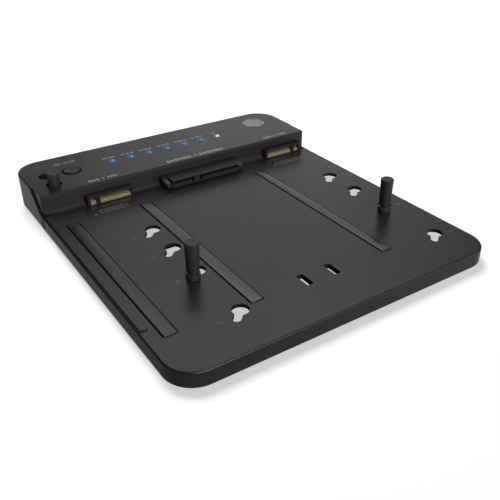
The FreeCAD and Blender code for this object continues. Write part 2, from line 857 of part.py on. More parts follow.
def screws():
    """The screws of the cover and of the board, each with a round head."""
    groups = (
        ("cover_screws", COVER_BOSSES, SKIRT_BOTTOM, COVER_TOP),
        ("board_screws", BOARD_BOSSES, BOARD_BOTTOM - s.screw_head_height, BOARD_TOP),
    )
    for label, places, head, seat in groups:
        tip = seat + s.screw_length - s.thread_clearance
        radius = s.screw_diameter / 2
        half = s.screw_head / 2
        shoulder = head + s.screw_head_height
        section = [
            (0, head), (half, head), (half, shoulder),
            (radius, shoulder), (radius, tip), (0, tip),
        ]
        pieces = [turned(f"{label}{k}", section, (x, y, 0)) for k, (x, y) in enumerate(places)]
        node(fuse(label + "_group", pieces), label)


def main_board():
    """The circuit board under the deck, with clearance round the cover's bosses."""
    margin = s.board_margin
    across = (s.board_left_inset - SIDE, BAY_SIDE - margin)
    plan = rectangle(across, (BAY_FRONT + margin, BAY_REAR - margin))
    plan[2] = plan[2] + (BAY_RADIUS - margin,)
    plate = extruded("BoardPlate", "XY", BOARD_BOTTOM, plan, s.board_thickness)
    holes = []
    for k, (x, y) in enumerate(COVER_BOSSES):
        size = s.boss_diameter + 2 * s.hole_clearance
        holes.append(rod(f"BoardGap{k}", (x, y, BOARD_BOTTOM), size, s.board_thickness))
    for k, (x, y) in enumerate(BOARD_BOSSES):
        size = s.screw_diameter + 2 * s.thread_clearance
        holes.append(rod(f"BoardHole{k}", (x, y, BOARD_BOTTOM), size, s.board_thickness))
    node(cut("MainBoard", plate, holes), "main_board")


def board_parts():
    """Chips and coils on the board."""
    half = s.chip_size / 2
    z = (BOARD_TOP, BOARD_TOP + s.chip_height)
    chips = []
    places = (
        (s.chip_first_x, LIGHT_Y - s.chip_front),
        (s.chip_second_x, REAR - s.chip_rear),
    )
    for k, (x, y) in enumerate(places):
        chips.append(box(f"Chip{k}", (x - half, x + half), (y - half, y + half), z))
    node(fuse("BridgeChips", chips), "bridge_chips")
    half = s.coil_size / 2
    z = (BOARD_TOP, BOARD_TOP + s.coil_height)
    coils = []
    y = LIGHT_Y - s.coil_front
    along = (y - half, y + half)
    for k, x in enumerate((SOCKET_RIGHT - s.coil_first, SOCKET_RIGHT - s.coil_second)):
        coils.append(prism(f"Coil{k}", (x - half, x + half), along, z, s.coil_round))
    node(fuse("PowerCoils", coils), "power_coils")


def contact_row(name, profile, first, width, pitch, count):
    """A row of contact springs, all with one side profile."""
    body = doc.addObject("PartDesign::Body", name)
    sketch = outline(body, name + "_profile", "YZ", first, profile)
    one = pad(body, sketch, width)
    repeated(body, one, (sketch, ["N_Axis"]), pitch, count)
    return body


def card_sockets():
    """The two card sockets in the deck's face, with their contact springs."""
    bottom = BOARD_TOP
    top = BOARD_TOP + s.socket_height
    front = DECK_FRONT - s.socket_proud
    rim = s.socket_rim
    floor = bottom + rim
    ceiling = top - s.socket_roof
    card = CARD_LEVEL - s.card_thickness / 2
    gap = s.contact_width / 2
    start = front + rim
    bend = start + s.contact_bend
    end = start + s.contact_reach
    lower = [
        (start, floor), (end, floor), (end, card - gap),
        (bend, card - gap), (start, card - gap - s.contact_lead),
    ]
    above = card + s.card_thickness + gap
    upper = [
        (start, ceiling), (start, ceiling - s.contact_tip),
        (bend, above), (end, above), (end, ceiling),
    ]
    levels = (("lower", lower), ("upper", upper))
    width, pitch = s.contact_width, s.contact_pitch
    for side, x, hand in SOCKETS:
        half = s.socket_width / 2
        across = (x - half, x + half)
        block = box(f"SocketBlock_{side}", across, (front, front + s.socket_depth), (bottom, top))
        inner = s.mouth_width / 2
        web = x + hand * s.key_offset
        mouths = ((x - inner, web - s.key_width / 2), (web + s.key_width / 2, x + inner))
        deep = (front - rim, front + s.mouth_depth)
        cuts = []
        rows = []
        for k, (left, right) in enumerate(mouths):
            cuts.append(box(f"Mouth_{side}{k}", (left, right), deep, (floor, ceiling)))
            count = CARD_CONTACTS["short" if (k == 1) == (hand == 1) else "long"]
            first = (left + right - (count - 1) * pitch - width) / 2
            for level, profile in levels:
                name = f"Row_{side}{k}_{level}"
                rows.append(contact_row(name, profile, first, width, pitch, count))
        node(cut(f"CardSocket_{side}", block, cuts), f"card_socket_{side}")
        node(fuse(f"CardContacts_{side}", rows), f"card_contacts_{side}")


def drive_socket():
    """The drive receptacle: two keyed slots between tapered guide ears."""
    front, rear = DRIVE_FRONT, DRIVE_FRONT + s.drive_depth
    bottom, top = s.drive_bottom, s.drive_top
    flange = DECK_FRONT - s.port_gap
    block = box("DriveBlock", (s.drive_left, DRIVE_RIGHT), (front, rear), (bottom, top))
    base = box("DriveFlange", (DRIVE_OUTER_LEFT, DRIVE_OUTER_RIGHT), (flange, rear), (BOARD_TOP, top))
    side_view = [
        (front + s.ear_nose, bottom),
        (rear, bottom),
        (rear, top),
        (flange, top),
        (front + s.ear_nose, top - s.ear_drop),
        (front, top - s.ear_drop - s.ear_nose),
        (front, bottom + s.ear_nose),
    ]
    ears = [
        extruded("EarLeft", "YZ", DRIVE_OUTER_LEFT, side_view, s.ear_width),
        extruded("EarRight", "YZ", DRIVE_RIGHT + s.ear_gap, side_view, s.ear_width),
    ]
    low = s.drive_slot_level - s.drive_slot_height / 2
    high = s.drive_slot_level + s.drive_slot_height / 2
    deep = (front - s.ear_nose, front + s.drive_slot_depth)
    signal = (s.drive_left + s.slot_margin, s.drive_left + s.slot_margin + s.signal_slot_width)
    power = (DRIVE_RIGHT - s.slot_margin - s.power_slot_width, DRIVE_RIGHT - s.slot_margin)
    legs = (low - s.key_leg_drop, high)
    cuts = [
        box("SignalSlot", signal, deep, (low, high)),
        box("PowerSlot", power, deep, (low, high)),
        box("SignalKey", (signal[1] - s.key_leg_width, signal[1]), deep, legs),
        box("PowerKey", (power[0], power[0] + s.key_leg_width), deep, legs),
    ]
    node(cut("DriveSocket", fuse("DriveSolid", [block, base] + ears), cuts), "drive_socket")

    rows = []
    start = front + s.slot_margin
    end = front + s.drive_slot_depth
    thick = s.drive_contact_thickness
    profile = [(start, low), (end, low), (end, low + thick), (start + thick, low + thick)]
    groups = (
        ("signal", signal[0], signal[1] - s.key_leg_width),
        ("power", power[0] + s.key_leg_width, power[1]),
    )
    width, pitch = s.drive_contact_width, s.drive_pitch
    for name, left, right in groups:
        count = DRIVE_CONTACTS[name]
        first = (left + right - (count - 1) * pitch - width) / 2
        rows.append(contact_row("Row_" + name, profile, first, width, pitch, count))
    node(fuse("DriveContacts", rows), "drive_contacts")


def grip_strips():
    """The three soft strips that a drive lies on."""
    floor = PLATE_TOP - s.strip_thickness + s.strip_proud
    for side, x, width in STRIPS:
        across, along = strip_plan(x, width, as_length(0))
        z = (floor, floor + s.strip_thickness)
        node(prism(f"Strip_{side}", across, along, z, s.strip_round), f"grip_strip_{side}")


def pin_section():
    """Half the section of a retaining pin, with its seat on the plate at height zero."""
    head = s.pin_head_diameter / 2
    neck = s.neck_diameter / 2
    foot = s.pin_foot_diameter / 2
    waist = s.pin_waist_diameter / 2
    under = -s.plate_thickness - s.pin_play
    groove_low = s.card_level - s.groove_height / 2
    groove_high = s.card_level + s.groove_height / 2
    top = s.pin_height
    return [
        (0, under - s.pin_head_height),
        (head, under - s.pin_head_height),
        (head, under),
        (neck, under),
        (neck, s.pin_play),
        (foot, s.pin_play),
        (foot, groove_low),
        (waist - s.groove_depth, groove_low),
        (waist - s.groove_depth, groove_high),
        (waist, groove_high),
        (s.pin_top_diameter / 2, top),
        (0, top),
    ]


def retaining_pins():
    """Two pins in the third keyholes and a spare standing in the front storage well."""
    third = CARD_END - s.card_length_c
    shank = s.plate_thickness + s.pin_play + s.pin_head_height
    stored = WELL_FLOOR + s.pin_play + shank
    places = (
        ("left", (SOCKET_LEFT, third, PLATE_TOP)),
        ("right", (SOCKET_RIGHT, third, PLATE_TOP)),
        ("spare", (WELL_X, WELLS[0], stored)),
    )
    for name, at in places:
        node(turned(f"Pin_{name}", pin_section(), at), f"retaining_pin_{name}")


def clone_button():
    """The button's cap with its stem and snap lip, and the switch that it presses."""
    x, y = BUTTON
    plunger_top = BOARD_TOP + s.switch_height + s.plunger_proud
    below = BUTTON_FLOOR - s.button_floor - s.pin_play
    cap = s.button_diameter / 2
    stem = s.button_stem / 2
    lip = s.button_lip / 2
    underside = BUTTON_FLOOR + s.button_travel + s.pin_play
    section = [
        (0, plunger_top + s.button_clearance),
        (stem, plunger_top + s.button_clearance),
        (lip, below - s.button_lip_height),
        (lip, below),
        (stem, below),
        (stem, underside),
        (cap, underside),
        (cap, DECK_TOP + s.button_proud - s.button_edge),
        (cap - s.button_edge, DECK_TOP + s.button_proud),
        (0, DECK_TOP + s.button_proud),
    ]
    node(turned("ButtonCap", section, (x, y, 0)), "clone_button")

    half = s.switch_side / 2
    block = box("SwitchBlock", (x - half, x + half), (y - half, y + half),
                (BOARD_TOP, BOARD_TOP + s.switch_height))
    top = BOARD_TOP + s.switch_height
    deep = s.plunger_depth + s.button_travel + s.pin_play
    bore = s.plunger_diameter + 2 * s.button_clearance
    hole = rod("SwitchBore", (x, y, top - deep), bore, deep)
    node(cut("SwitchHousing", block, [hole]), "switch_housing")
    base = top - s.plunger_depth
    node(rod("SwitchPlunger", (x, y, base), s.plunger_diameter, plunger_top - base), "switch_plunger")


def status_lights():
    """Diodes on the board and the light guides above them, the last one clear."""
    guides = []
    diodes = []
    low = BOARD_TOP + s.diode_height + s.hole_clearance
    tall = DECK_TOP + s.light_clearance - low
    half = s.diode_width / 2
    along = (LIGHT_Y - half, LIGHT_Y + half)
    z = (BOARD_TOP, BOARD_TOP + s.diode_height)
    for k, x in enumerate(LIGHTS):
        guides.append(rod(f"LightGuide{k}", (x, LIGHT_Y, low), s.light_diameter, tall))
        diodes.append(box(f"Diode{k}", (x - half, x + half), along, z))
    node(fuse("BlueGuides", guides[:-1]), "light_guides_blue")
    node(guides[-1], "light_guide_white")
    node(fuse("Diodes", diodes), "status_diodes")


def data_port():
    """The small rounded data port: a metal shell round a contact tongue."""
    rear = REAR - s.port_inset
    front = rear - s.data_port_depth
    floor = front + 2 * s.data_port_wall
    outer = data_port_form("PortOuter", 0, (front, rear))
    inner = data_port_form("PortInner", s.data_port_wall, (floor, REAR))
    node(cut("DataPortShell", outer, [inner]), "data_port_shell")
    half = s.tongue_width / 2
    across = (s.data_port_x - half, s.data_port_x + half)
    middle = BOARD_TOP + s.data_port_height / 2
    half = s.tongue_thickness / 2
    z = (middle - half, middle + half)
    node(box("Tongue", across, (floor, floor + s.tongue_depth), z), "data_port_tongue")


def data_port_form(name, inset, y):
    """The port's rounded outline, moved in by a wall and carried along Y."""
    half = s.data_port_width / 2 - inset
    x = (s.data_port_x - half, s.data_port_x + half)
    z = (BOARD_TOP + inset, BOARD_TOP + s.data_port_height - inset)
    return prism_along_y(name, x, y, z, s.data_port_round - inset)


def power_port():
    """The power inlet: a block with a round bore and a centre pin."""
    rear = REAR - s.port_inset
    middle = BOARD_TOP + s.power_port_height / 2
    half = s.power_port_width / 2
    x = s.power_port_x
    along = (rear - s.power_port_depth, rear)
    z = (BOARD_TOP, BOARD_TOP + s.power_port_height)
    block = box("PowerBlock", (x - half, x + half), along, z)
    start = (x, rear - s.power_bore_depth, middle)
    bore = rod("PowerBore", start, s.power_bore, s.power_port_depth, "y")
    node(cut("PowerPortBody", block, [bore]), "power_port_body")
    pin = rod("PowerPin", start, s.power_pin_diameter, s.power_pin_length, "y")
    node(pin, "power_port_pin")


def power_switch():
    """The slide switch behind the rear wall, with its nub in the dished slot."""
    half = s.slider_body_width / 2
    rear = BAY_REAR - s.pin_play
    front = rear - s.slider_body_depth
    across = (s.slider_x - half, s.slider_x + half)
    z = (BOARD_TOP, BOARD_TOP + s.slider_body_height)
    block = box("SliderBlock", across, (front, rear), z)
    tip = REAR - s.port_inset
    base = tip - s.slider_reach
    half = (s.slider_width + s.slider_travel) / 2
    tall = s.slider_height / 2
    left = s.slider_x - half
    gap = s.slider_gap
    across = (left - gap, s.slider_x + half + gap)
    z = (SLIDER_LEVEL - tall - gap, SLIDER_LEVEL + tall + gap)
    track = box("SliderTrack", across, (base - gap, REAR), z)
    node(cut("SliderHousing", block, [track]), "power_switch_body")
    z = (SLIDER_LEVEL - tall, SLIDER_LEVEL + tall)
    nub = box("SliderNub", (left, left + s.slider_width), (base, tip), z)
    node(nub, "power_switch_slider")


def rubber_feet():
    """Four round feet, two under the plate and two under the cover."""
    radius = s.foot_diameter / 2
    high = s.foot_proud + s.foot_seat
    section = [(0, 0), (radius - s.foot_seat, 0), (radius, s.foot_seat), (radius, high), (0, high)]
    feet = []
    for x in (-FOOT_X, FOOT_X):
        for y in (FOOT_FRONT, FOOT_REAR):
            feet.append(turned(f"Foot{len(feet)}", section, (x, y, 0)))
    node(fuse("Feet", feet), "rubber_feet")


def check_and_export():
    """Stop if any object failed, then write one file for each sub-part."""
    doc.recompute()
    for item in doc.Objects:
        if "Invalid" in item.State or "Error" in item.State:
            raise RuntimeError(f"{item.Name} did not compute: {item.State}")
    os.makedirs("parts", exist_ok=True)
    for item in nodes:
        if item.Shape.isNull() or not item.Shape.isValid():
            raise RuntimeError(f"{item.Label} has no valid shape")
    for item in nodes:
        item.Shape.exportStep(os.path.join("parts", item.Label + ".step"))
        print(item.Label, len(item.Shape.Solids), round(item.Shape.Volume, 1))


top_shell()
bottom_cover()
screws()
main_board()
board_parts()
card_sockets()
drive_socket()
grip_strips()
retaining_pins()
clone_button()
status_lights()
data_port()
power_port()
power_switch()
rubber_feet()
check_and_export()
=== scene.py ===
"""Looks of a flat drive duplicator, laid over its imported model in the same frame."""
import math
from functools import partial

import bmesh
import bpy
import numpy as np
from bpy.props import FloatProperty, FloatVectorProperty, PointerProperty
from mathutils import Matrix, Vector


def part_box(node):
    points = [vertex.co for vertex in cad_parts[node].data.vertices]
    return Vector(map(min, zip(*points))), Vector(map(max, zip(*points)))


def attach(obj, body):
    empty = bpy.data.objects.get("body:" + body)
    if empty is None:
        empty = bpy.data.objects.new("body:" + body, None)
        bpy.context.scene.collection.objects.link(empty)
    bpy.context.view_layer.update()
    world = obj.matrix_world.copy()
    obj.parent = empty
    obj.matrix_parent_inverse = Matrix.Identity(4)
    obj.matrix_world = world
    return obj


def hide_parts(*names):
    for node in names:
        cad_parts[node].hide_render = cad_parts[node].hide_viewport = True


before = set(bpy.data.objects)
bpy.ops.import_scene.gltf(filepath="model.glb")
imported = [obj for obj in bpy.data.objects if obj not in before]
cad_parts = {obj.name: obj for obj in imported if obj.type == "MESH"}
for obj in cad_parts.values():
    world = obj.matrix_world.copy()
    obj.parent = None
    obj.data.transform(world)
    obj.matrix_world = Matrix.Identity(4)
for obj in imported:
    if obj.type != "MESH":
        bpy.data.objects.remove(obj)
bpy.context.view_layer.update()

bl_info = {
    "name": "Drive duplicator",
    "version": (1, 0, 0),
    "blender": (4, 5, 0),
    "location": "3D View > Sidebar > Duplicator",
    "description": "Finishes and fine parts of a flat drive duplicator",
    "category": "Object",
}

MM = 0.001
LOW = {name: np.array(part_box(name)[0]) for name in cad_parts}
HIGH = {name: np.array(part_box(name)[1]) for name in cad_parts}
MIDDLE = {name: (LOW[name] + HIGH[name]) / 2 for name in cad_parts}
DECK_TOP = 16.8 * MM
PLATE_TOP = 7.7 * MM
LIGHT_X, LIGHT_Y = -29.6 * MM, 62.4 * MM
LIGHT_PITCH = 9.83 * MM
MARK_TURN = math.radians(-33.7)
SHARP_FROM = math.radians(35)


# Properties


def length(name, description, millimetres):
    """A length property with its default given in millimetres."""
    return FloatProperty(
        name=name, description=description, default=millimetres * MM, unit="LENGTH", precision=5
    )


def linear(code):
    """The linear colour of a six-figure screen colour, by the standard screen curve."""
    screen = np.array([int(code[k:k + 2], 16) for k in (0, 2, 4)]) / 255
    curve = ((screen + 0.055) / 1.055) ** 2.4
    return tuple(np.where(screen <= 0.04045, screen / 12.92, curve).tolist())


def colour(name, description, code):
    """A colour property with its default given as a screen colour."""
    return FloatVectorProperty(
        name=name, description=description, subtype="COLOR", size=3, min=0, max=1,
        default=linear(code),
    )


class DuplicatorSizes(bpy.types.PropertyGroup):
    """Sizes of the parts that are made here."""

    soft_edge: length("Soft edge", "Radius of the moulded edges of the case", 0.12)
    strip_edge: length("Strip edge", "Rounding along the top of a grip strip", 0.25)
    strip_crown: length("Strip crown", "Rise of a grip strip towards its middle", 0.08)
    pin_edge: length("Pin edge", "Rounding of a retaining pin's edges", 0.3)
    contact_lip: length("Contact lip", "Bend radius at the tip of a card contact", 0.35)
    mark_height: length("Mark height", "Height of the printed figures", 1.9)
    mark_film: length("Mark film", "Thickness of the printed film", 0.02)
    button_dish: length("Button dish", "Depth of the hollow in the button's top", 0.1)
    lens_dome: length("Lens dome", "Rise of the lenses of the status lights", 0.8)


class DuplicatorColours(bpy.types.PropertyGroup):
    """Colours of the finishes."""

    case: colour("Case", "Moulded case", "2b282c")
    cover: colour("Cover", "Bottom cover", "28272a")
    strip: colour("Strip", "Soft grip strips", "272629")
    pin: colour("Pin", "Retaining pins", "343235")
    socket: colour("Socket", "Socket housings", "262427")
    gold: colour("Contacts", "Plated contacts", "cbc3a4")
    shaded_blade: colour("Blades", "Contacts of the drive receptacle, dark with painted shade", "1c1a18")
    blue: colour("Blue light", "Six progress lights", "5587b8")
    white: colour("White light", "The power light", "f2f4ff")
    mark: colour("Marks", "Printed figures on the deck", "d6d6d6")
    faint: colour("Faint marks", "Printed figures on the plate", "8a888a")
    disc: colour("Disc", "Round printed mark", "a2a0a1")
    rim: colour("Disc rim", "Rim of the round printed mark", "dad8d9")
    floor: colour("Floor", "Studio floor", "f0f0f0")


def sizes():
    return bpy.context.scene.duplicator_sizes


def colours():
    return bpy.context.scene.duplicator_colours


# Shapes


def placed(name, mesh, body, material):
    """An object of a mesh that rides on a body and fills a slot."""
    piece = bpy.data.objects.new(name, mesh)
    bpy.context.scene.collection.objects.link(piece)
    mesh.materials.append(material)
    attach(piece, body)
    return piece


def add_piece(name, stacks, body, material, replaces=()):
    """A closed piece from stacks of rings, smooth except where faces meet at a wide angle."""
    points, faces = gathered(stacks)
    mesh = bpy.data.meshes.new(name)
    mesh.from_pydata(points.tolist(), [], faces)
    work = bmesh.new()
    work.from_mesh(mesh)
    bmesh.ops.remove_doubles(work, verts=work.verts, dist=1e-7)
    bmesh.ops.recalc_face_normals(work, faces=work.faces)
    work.to_mesh(mesh)
    work.free()
    mesh.shade_smooth()
    mesh.set_sharp_from_angle(angle=SHARP_FROM)
    piece = placed(name, mesh, body, material)
    if replaces:
        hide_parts(*replaces)


def skin(rings, start):
    """Faces over rings of points: quads between neighbours, one flat face at each end."""
    levels, around = rings.shape[:2]
    first = np.arange(levels - 1)[:, None] * around + np.arange(around)[None, :]
    turn = np.arange(levels - 1)[:, None] * around + (np.arange(around)[None, :] + 1) % around
    quads = np.stack([first, turn, turn + around, first + around], -1).reshape(-1, 4) + start
    low = (np.arange(around)[::-1] + start).tolist()
    high = (np.arange(around) + (levels - 1) * around + start).tolist()
    return quads.tolist() + [low, high]


def gathered(stacks):
    """Points and faces of several stacks of rings in one mesh."""
    points, faces, start = [], [], 0
    for rings in stacks:
        faces += skin(rings, start)
        points.append(rings.reshape(-1, 3))
        start += rings.shape[0] * rings.shape[1]
    return np.concatenate(points), faces


def circle(radii, around):
    """Rings of x = r cos t, y = r sin t, one for each radius."""
    turn = np.linspace(0, 2 * np.pi, around, endpoint=False)
    return np.asarray(radii)[:, None, None] * np.stack([np.cos(turn), np.sin(turn)], -1)


def rounded_plan(half_x, half_y, radius, insets, steps=6):
    """Rings of a rectangle with round corners, each moved inwards by its inset.

    A corner is centre + r (cos t, sin t), and an inset shortens r and, past r, the half sides.
    """
    turn = (np.arange(4)[:, None] + np.linspace(0, 1, steps)[None, :]) * np.pi / 2
    signs = np.array([[1, 1], [-1, 1], [-1, -1], [1, -1]])[:, None, :]
    insets = np.asarray(insets, float)[:, None, None, None]
    r = np.maximum(radius - insets, radius * 0.05)
    centre = (np.array([half_x, half_y]) - insets - r) * signs[None]
    arc = np.stack([np.cos(turn), np.sin(turn)], -1)[None] * r
    return (centre + arc).reshape(len(insets), -1, 2)


def lifted(plans, heights, centre=(0, 0, 0), axis="z"):
    """Plan rings set at heights along an axis through a centre."""
    heights = np.broadcast_to(np.asarray(heights, float)[:, None], plans.shape[:2])
    rings = np.concatenate([plans, heights[..., None]], -1)
    order = {"z": [0, 1, 2], "y": [0, 2, 1]}[axis]
    return rings[..., order] + np.asarray(centre)


def eased(corners, steps=5):
    """A profile of (r, h) points whose corners with a third value get an arc of that radius.

    The arc touches both sides: its centre lies on the bisector at radius / sin(half angle).
    """
    points = [np.array(c[:2], float) for c in corners]
    out = []
    for k, corner in enumerate(corners):
        if len(corner) < 3 or k in (0, len(corners) - 1):
            out.append(points[k])
            continue
        back = points[k - 1] - points[k]
        ahead = points[k + 1] - points[k]
        back, ahead = back / np.linalg.norm(back), ahead / np.linalg.norm(ahead)
        half = math.acos(np.clip(back @ ahead, -1, 1)) / 2
        reach = corner[2] / math.tan(half)
        bisector = (back + ahead) / np.linalg.norm(back + ahead)
        centre = points[k] + bisector * corner[2] / math.sin(half)
        first, last = points[k] + back * reach - centre, points[k] + ahead * reach - centre
        share = np.linspace(0, 1, steps)[:, None]
        sweep = math.acos(np.clip(first @ last / corner[2] ** 2, -1, 1))
        arc = (np.sin((1 - share) * sweep) * first + np.sin(share * sweep) * last) / math.sin(sweep)
        out += list(centre + arc)
    return np.array(out)


def turned(profile, centre=(0, 0, 0), axis="z", around=48):
    """A profile of (r, h) turned about an axis."""
    profile = np.asarray(profile)
    return lifted(circle(np.maximum(profile[:, 0], 1e-6), around), profile[:, 1], centre, axis)


def slab(low, high, radius, edge, crown, steps=4):
    """A block with round upright edges, an eased top edge and a crowned top.

    Going up the edge, inset = e (1 - cos t) and height = top - e (1 - sin t).
    Over the top, the height is top + crown (1 - (1 - share)^2) for a share of the half width.
    """
    half = (high - low)[:2] / 2
    turn = np.linspace(0, np.pi / 2, steps)
    share = np.linspace(0, 1, 6)[1:] * 0.96
    top = high[2] - crown
    insets = np.concatenate([[0], edge * (1 - np.cos(turn)), edge + (min(half) - edge) * share])
    heights = np.concatenate([
        [low[2]], top - edge * (1 - np.sin(turn)), top + crown * (1 - (1 - share) ** 2),
    ])
    middle = (low + high) / 2
    return lifted(rounded_plan(*half, radius, insets), heights, (*middle[:2], 0))


def ribbon(path, thickness):
    """The closed outline of a strip of sheet that follows a path: path + and - half its normal."""
    path = np.asarray(path, float)
    along = np.gradient(path, axis=0)
    along /= np.linalg.norm(along, axis=1, keepdims=True)
    normal = np.stack([-along[:, 1], along[:, 0]], -1) * thickness / 2
    return np.concatenate([path + normal, (path - normal)[::-1]])


def bars(outline, starts, width):
    """A closed (y, z) outline carried along x by a width, once from each start."""
    count = len(outline)
    spans = np.array([0, width])
    stack = np.zeros((len(starts), 2, count, 3))
    stack[..., 0] = np.asarray(starts)[:, None, None] + spans[None, :, None]
    stack[..., 1:] = outline
    return list(stack)


# Finishes


def new_group(name, inputs, outputs):
    """A shader group with named float, colour or vector sockets."""
    tree = bpy.data.node_groups.new(name, "ShaderNodeTree")
    kinds = {"f": "NodeSocketFloat", "c": "NodeSocketColor", "v": "NodeSocketVector"}
    for label, kind, value in inputs:
        item = tree.interface.new_socket(label, in_out="INPUT", socket_type=kinds[kind])
        if value is not None:
            item.default_value = value
    for label, kind in outputs:
        tree.interface.new_socket(label, in_out="OUTPUT", socket_type=kinds[kind])
    return tree, tree.nodes.new("NodeGroupInput"), tree.nodes.new("NodeGroupOutput")


def node(tree, kind, **settings):
    """A new shader node with its settings."""
    item = tree.nodes.new("ShaderNode" + kind)
    for key, value in settings.items():
        setattr(item, key, value)
    return item


def fed(tree, item, given):
    """A node whose inputs are linked from sockets or set to plain values."""
    for key, value in given.items():
        if isinstance(value, bpy.types.NodeSocket):
            tree.links.new(value, item.inputs[key])
        else:
            item.inputs[key].default_value = value
    return item


def math_node(tree, operation, *values, clamp=False):
    """The outcome of a math node."""
    item = node(tree, "Math", operation=operation, use_clamp=clamp)
    return fed(tree, item, dict(enumerate(values))).outputs[0]


def noise(tree, vector, scale, detail, roughness=0.5):
    return fed(tree, node(tree, "TexNoise"), {
        "Vector": vector, "Scale": scale, "Detail": detail, "Roughness": roughness,
    }).outputs["Fac"]


def ramp(tree, value, low, high):
    """A smooth step of a value between two limits."""
    item = node(tree, "MapRange", interpolation_type="SMOOTHSTEP")
    return fed(tree, item, {"Value": value, "From Min": low, "From Max": high}).outputs["Result"]


def fade(tree, value, low, high):
    """One less a smooth step of a value."""
    return math_node(tree, "SUBTRACT", 1.0, ramp(tree, value, low, high))


def blend(tree, factor, first, second):
    """A colour between two colours."""
    item = node(tree, "Mix", data_type="RGBA")
    return fed(tree, item, {"Factor": factor, "A": first, "B": second}).outputs["Result"]


def object_place(tree):
    return node(tree, "TexCoord").outputs["Object"]


def axes(tree, vector):
    """The x, y and z of a vector."""
    return fed(tree, node(tree, "SeparateXYZ"), {0: vector}).outputs


def use_group(tree, name, build, given):
    """A node of a shared group, which is built when it is first used."""
    shared = bpy.data.node_groups.get(name) or build()
    return fed(tree, node(tree, "Group", node_tree=shared), given)


def edge_group():
    """Soft moulded edges: a rounded normal, and a mask that is 1 on the edge itself."""
    tree, inside, out = new_group(
        "Soft edge", [("Radius", "f", 0.0001)], [("Normal", "v"), ("Mask", "f")]
    )
    bevel = fed(tree, node(tree, "Bevel", samples=6), {"Radius": inside.outputs["Radius"]})
    plain = node(tree, "NewGeometry").outputs["Normal"]
    soft = bevel.outputs["Normal"]
    dot = fed(tree, node(tree, "VectorMath", operation="DOT_PRODUCT"), {0: soft, 1: plain})
    away = math_node(tree, "SUBTRACT", 1.0, dot.outputs["Value"])
    fed(tree, out, {"Normal": soft, "Mask": ramp(tree, away, 0.02, 0.3)})
    return tree


def surface_group():
    """Moulded surface: fine texture, slow tone changes, handling marks, dust, painted edge sheen
    and wear.
    """
    tree, inside, out = new_group(
        "Moulded surface",
        [("Vector", "v", None), ("Colour", "c", (0.1, 0.1, 0.1, 1)),
         ("Edge sheen and wear colour", "c", (0.2, 0.2, 0.2, 1)), ("Edge", "f", 0.0), ("Roughness", "f", 0.4),
         ("Texture scale", "f", 3000.0), ("Cloud", "f", 0.1), ("Handling", "f", 0.05),
         ("Dust", "f", 0.0)],
        [("Colour", "c"), ("Roughness", "f"), ("Height", "f")],
    )
    calc = partial(math_node, tree)
    given = inside.outputs
    vector = given["Vector"]
    fine = noise(tree, vector, given["Texture scale"], 3.0, 0.6)
    cells = fed(tree, node(tree, "TexVoronoi", feature="SMOOTH_F1"),
                {"Vector": vector, "Scale": given["Texture scale"]})
    cloud = calc("SUBTRACT", noise(tree, vector, 18.0, 4.0, 0.55), 0.5)
    handling = ramp(tree, noise(tree, vector, 70.0, 6.0, 0.65), 0.52, 0.75)
    specks = ramp(tree, noise(tree, vector, 2200.0, 1.0), 0.76, 0.8)
    upward = axes(tree, node(tree, "NewGeometry").outputs["Normal"])["Z"]
    dust = calc("MULTIPLY", specks, ramp(tree, upward, 0.5, 0.9))
    dust = calc("MULTIPLY", dust, given["Dust"], clamp=True)

    tone = calc("MULTIPLY_ADD", cloud, given["Cloud"], 1.0)
    tone = calc("MULTIPLY_ADD", calc("SUBTRACT", fine, 0.5), 0.25, tone)
    shaded = fed(tree, node(tree, "VectorMath", operation="SCALE"),
                 {0: given["Colour"], "Scale": tone})
    # Edges take the edge colour: a painted sheen, with a little wear.
    with_painted_light = blend(tree, given["Edge"], shaded.outputs["Vector"], given["Edge sheen and wear colour"])
    polish = calc("MULTIPLY", given["Handling"], -1.0)
    rough = calc("MULTIPLY_ADD", handling, polish, given["Roughness"])
    rough = calc("MULTIPLY_ADD", cloud, given["Cloud"], rough)
    fed(tree, out, {
        "Colour": blend(tree, dust, with_painted_light, (0.45, 0.44, 0.42, 1)),
        "Roughness": calc("MAXIMUM", rough, 0.08, clamp=True),
        "Height": calc("MULTIPLY_ADD", cells.outputs["Distance"], 0.6, fine),
    })
    return tree


def spill_group():
    """Light that spills from the status lights onto the deck round them.

    The lights stand at x = x0 + k p, so the way to the nearest one along x is the folded wave
    pingpong(x - x0, p / 2), and the mask falls smoothly with r = sqrt(that^2 + (y - y0)^2).
    """
    tree, inside, out = new_group(
        "Light spill", [("Vector", "v", None)], [("Blue", "f"), ("White", "f")]
    )
    calc = partial(math_node, tree)
    x, y, z = axes(tree, inside.outputs["Vector"])
    along = calc("PINGPONG", calc("SUBTRACT", x, LIGHT_X), LIGHT_PITCH / 2)
    across = calc("SUBTRACT", y, LIGHT_Y)
    away = calc("SQRT", calc("ADD", calc("MULTIPLY", along, along),
                             calc("MULTIPLY", across, across)))
    near = fade(tree, away, 0.9 * MM, 3.1 * MM)
    near = calc("MULTIPLY", near, calc("GREATER_THAN", z, DECK_TOP - 0.3 * MM))
    near = calc("MULTIPLY", near, calc("LESS_THAN", calc("ABSOLUTE", x), 32 * MM))
    last = calc("GREATER_THAN", x, LIGHT_X + 5.5 * LIGHT_PITCH)
    fed(tree, out, {
        "Blue": calc("MULTIPLY", near, calc("SUBTRACT", 1.0, last)),
        "White": calc("MULTIPLY", calc("MULTIPLY", near, near), last),
    })
    return tree


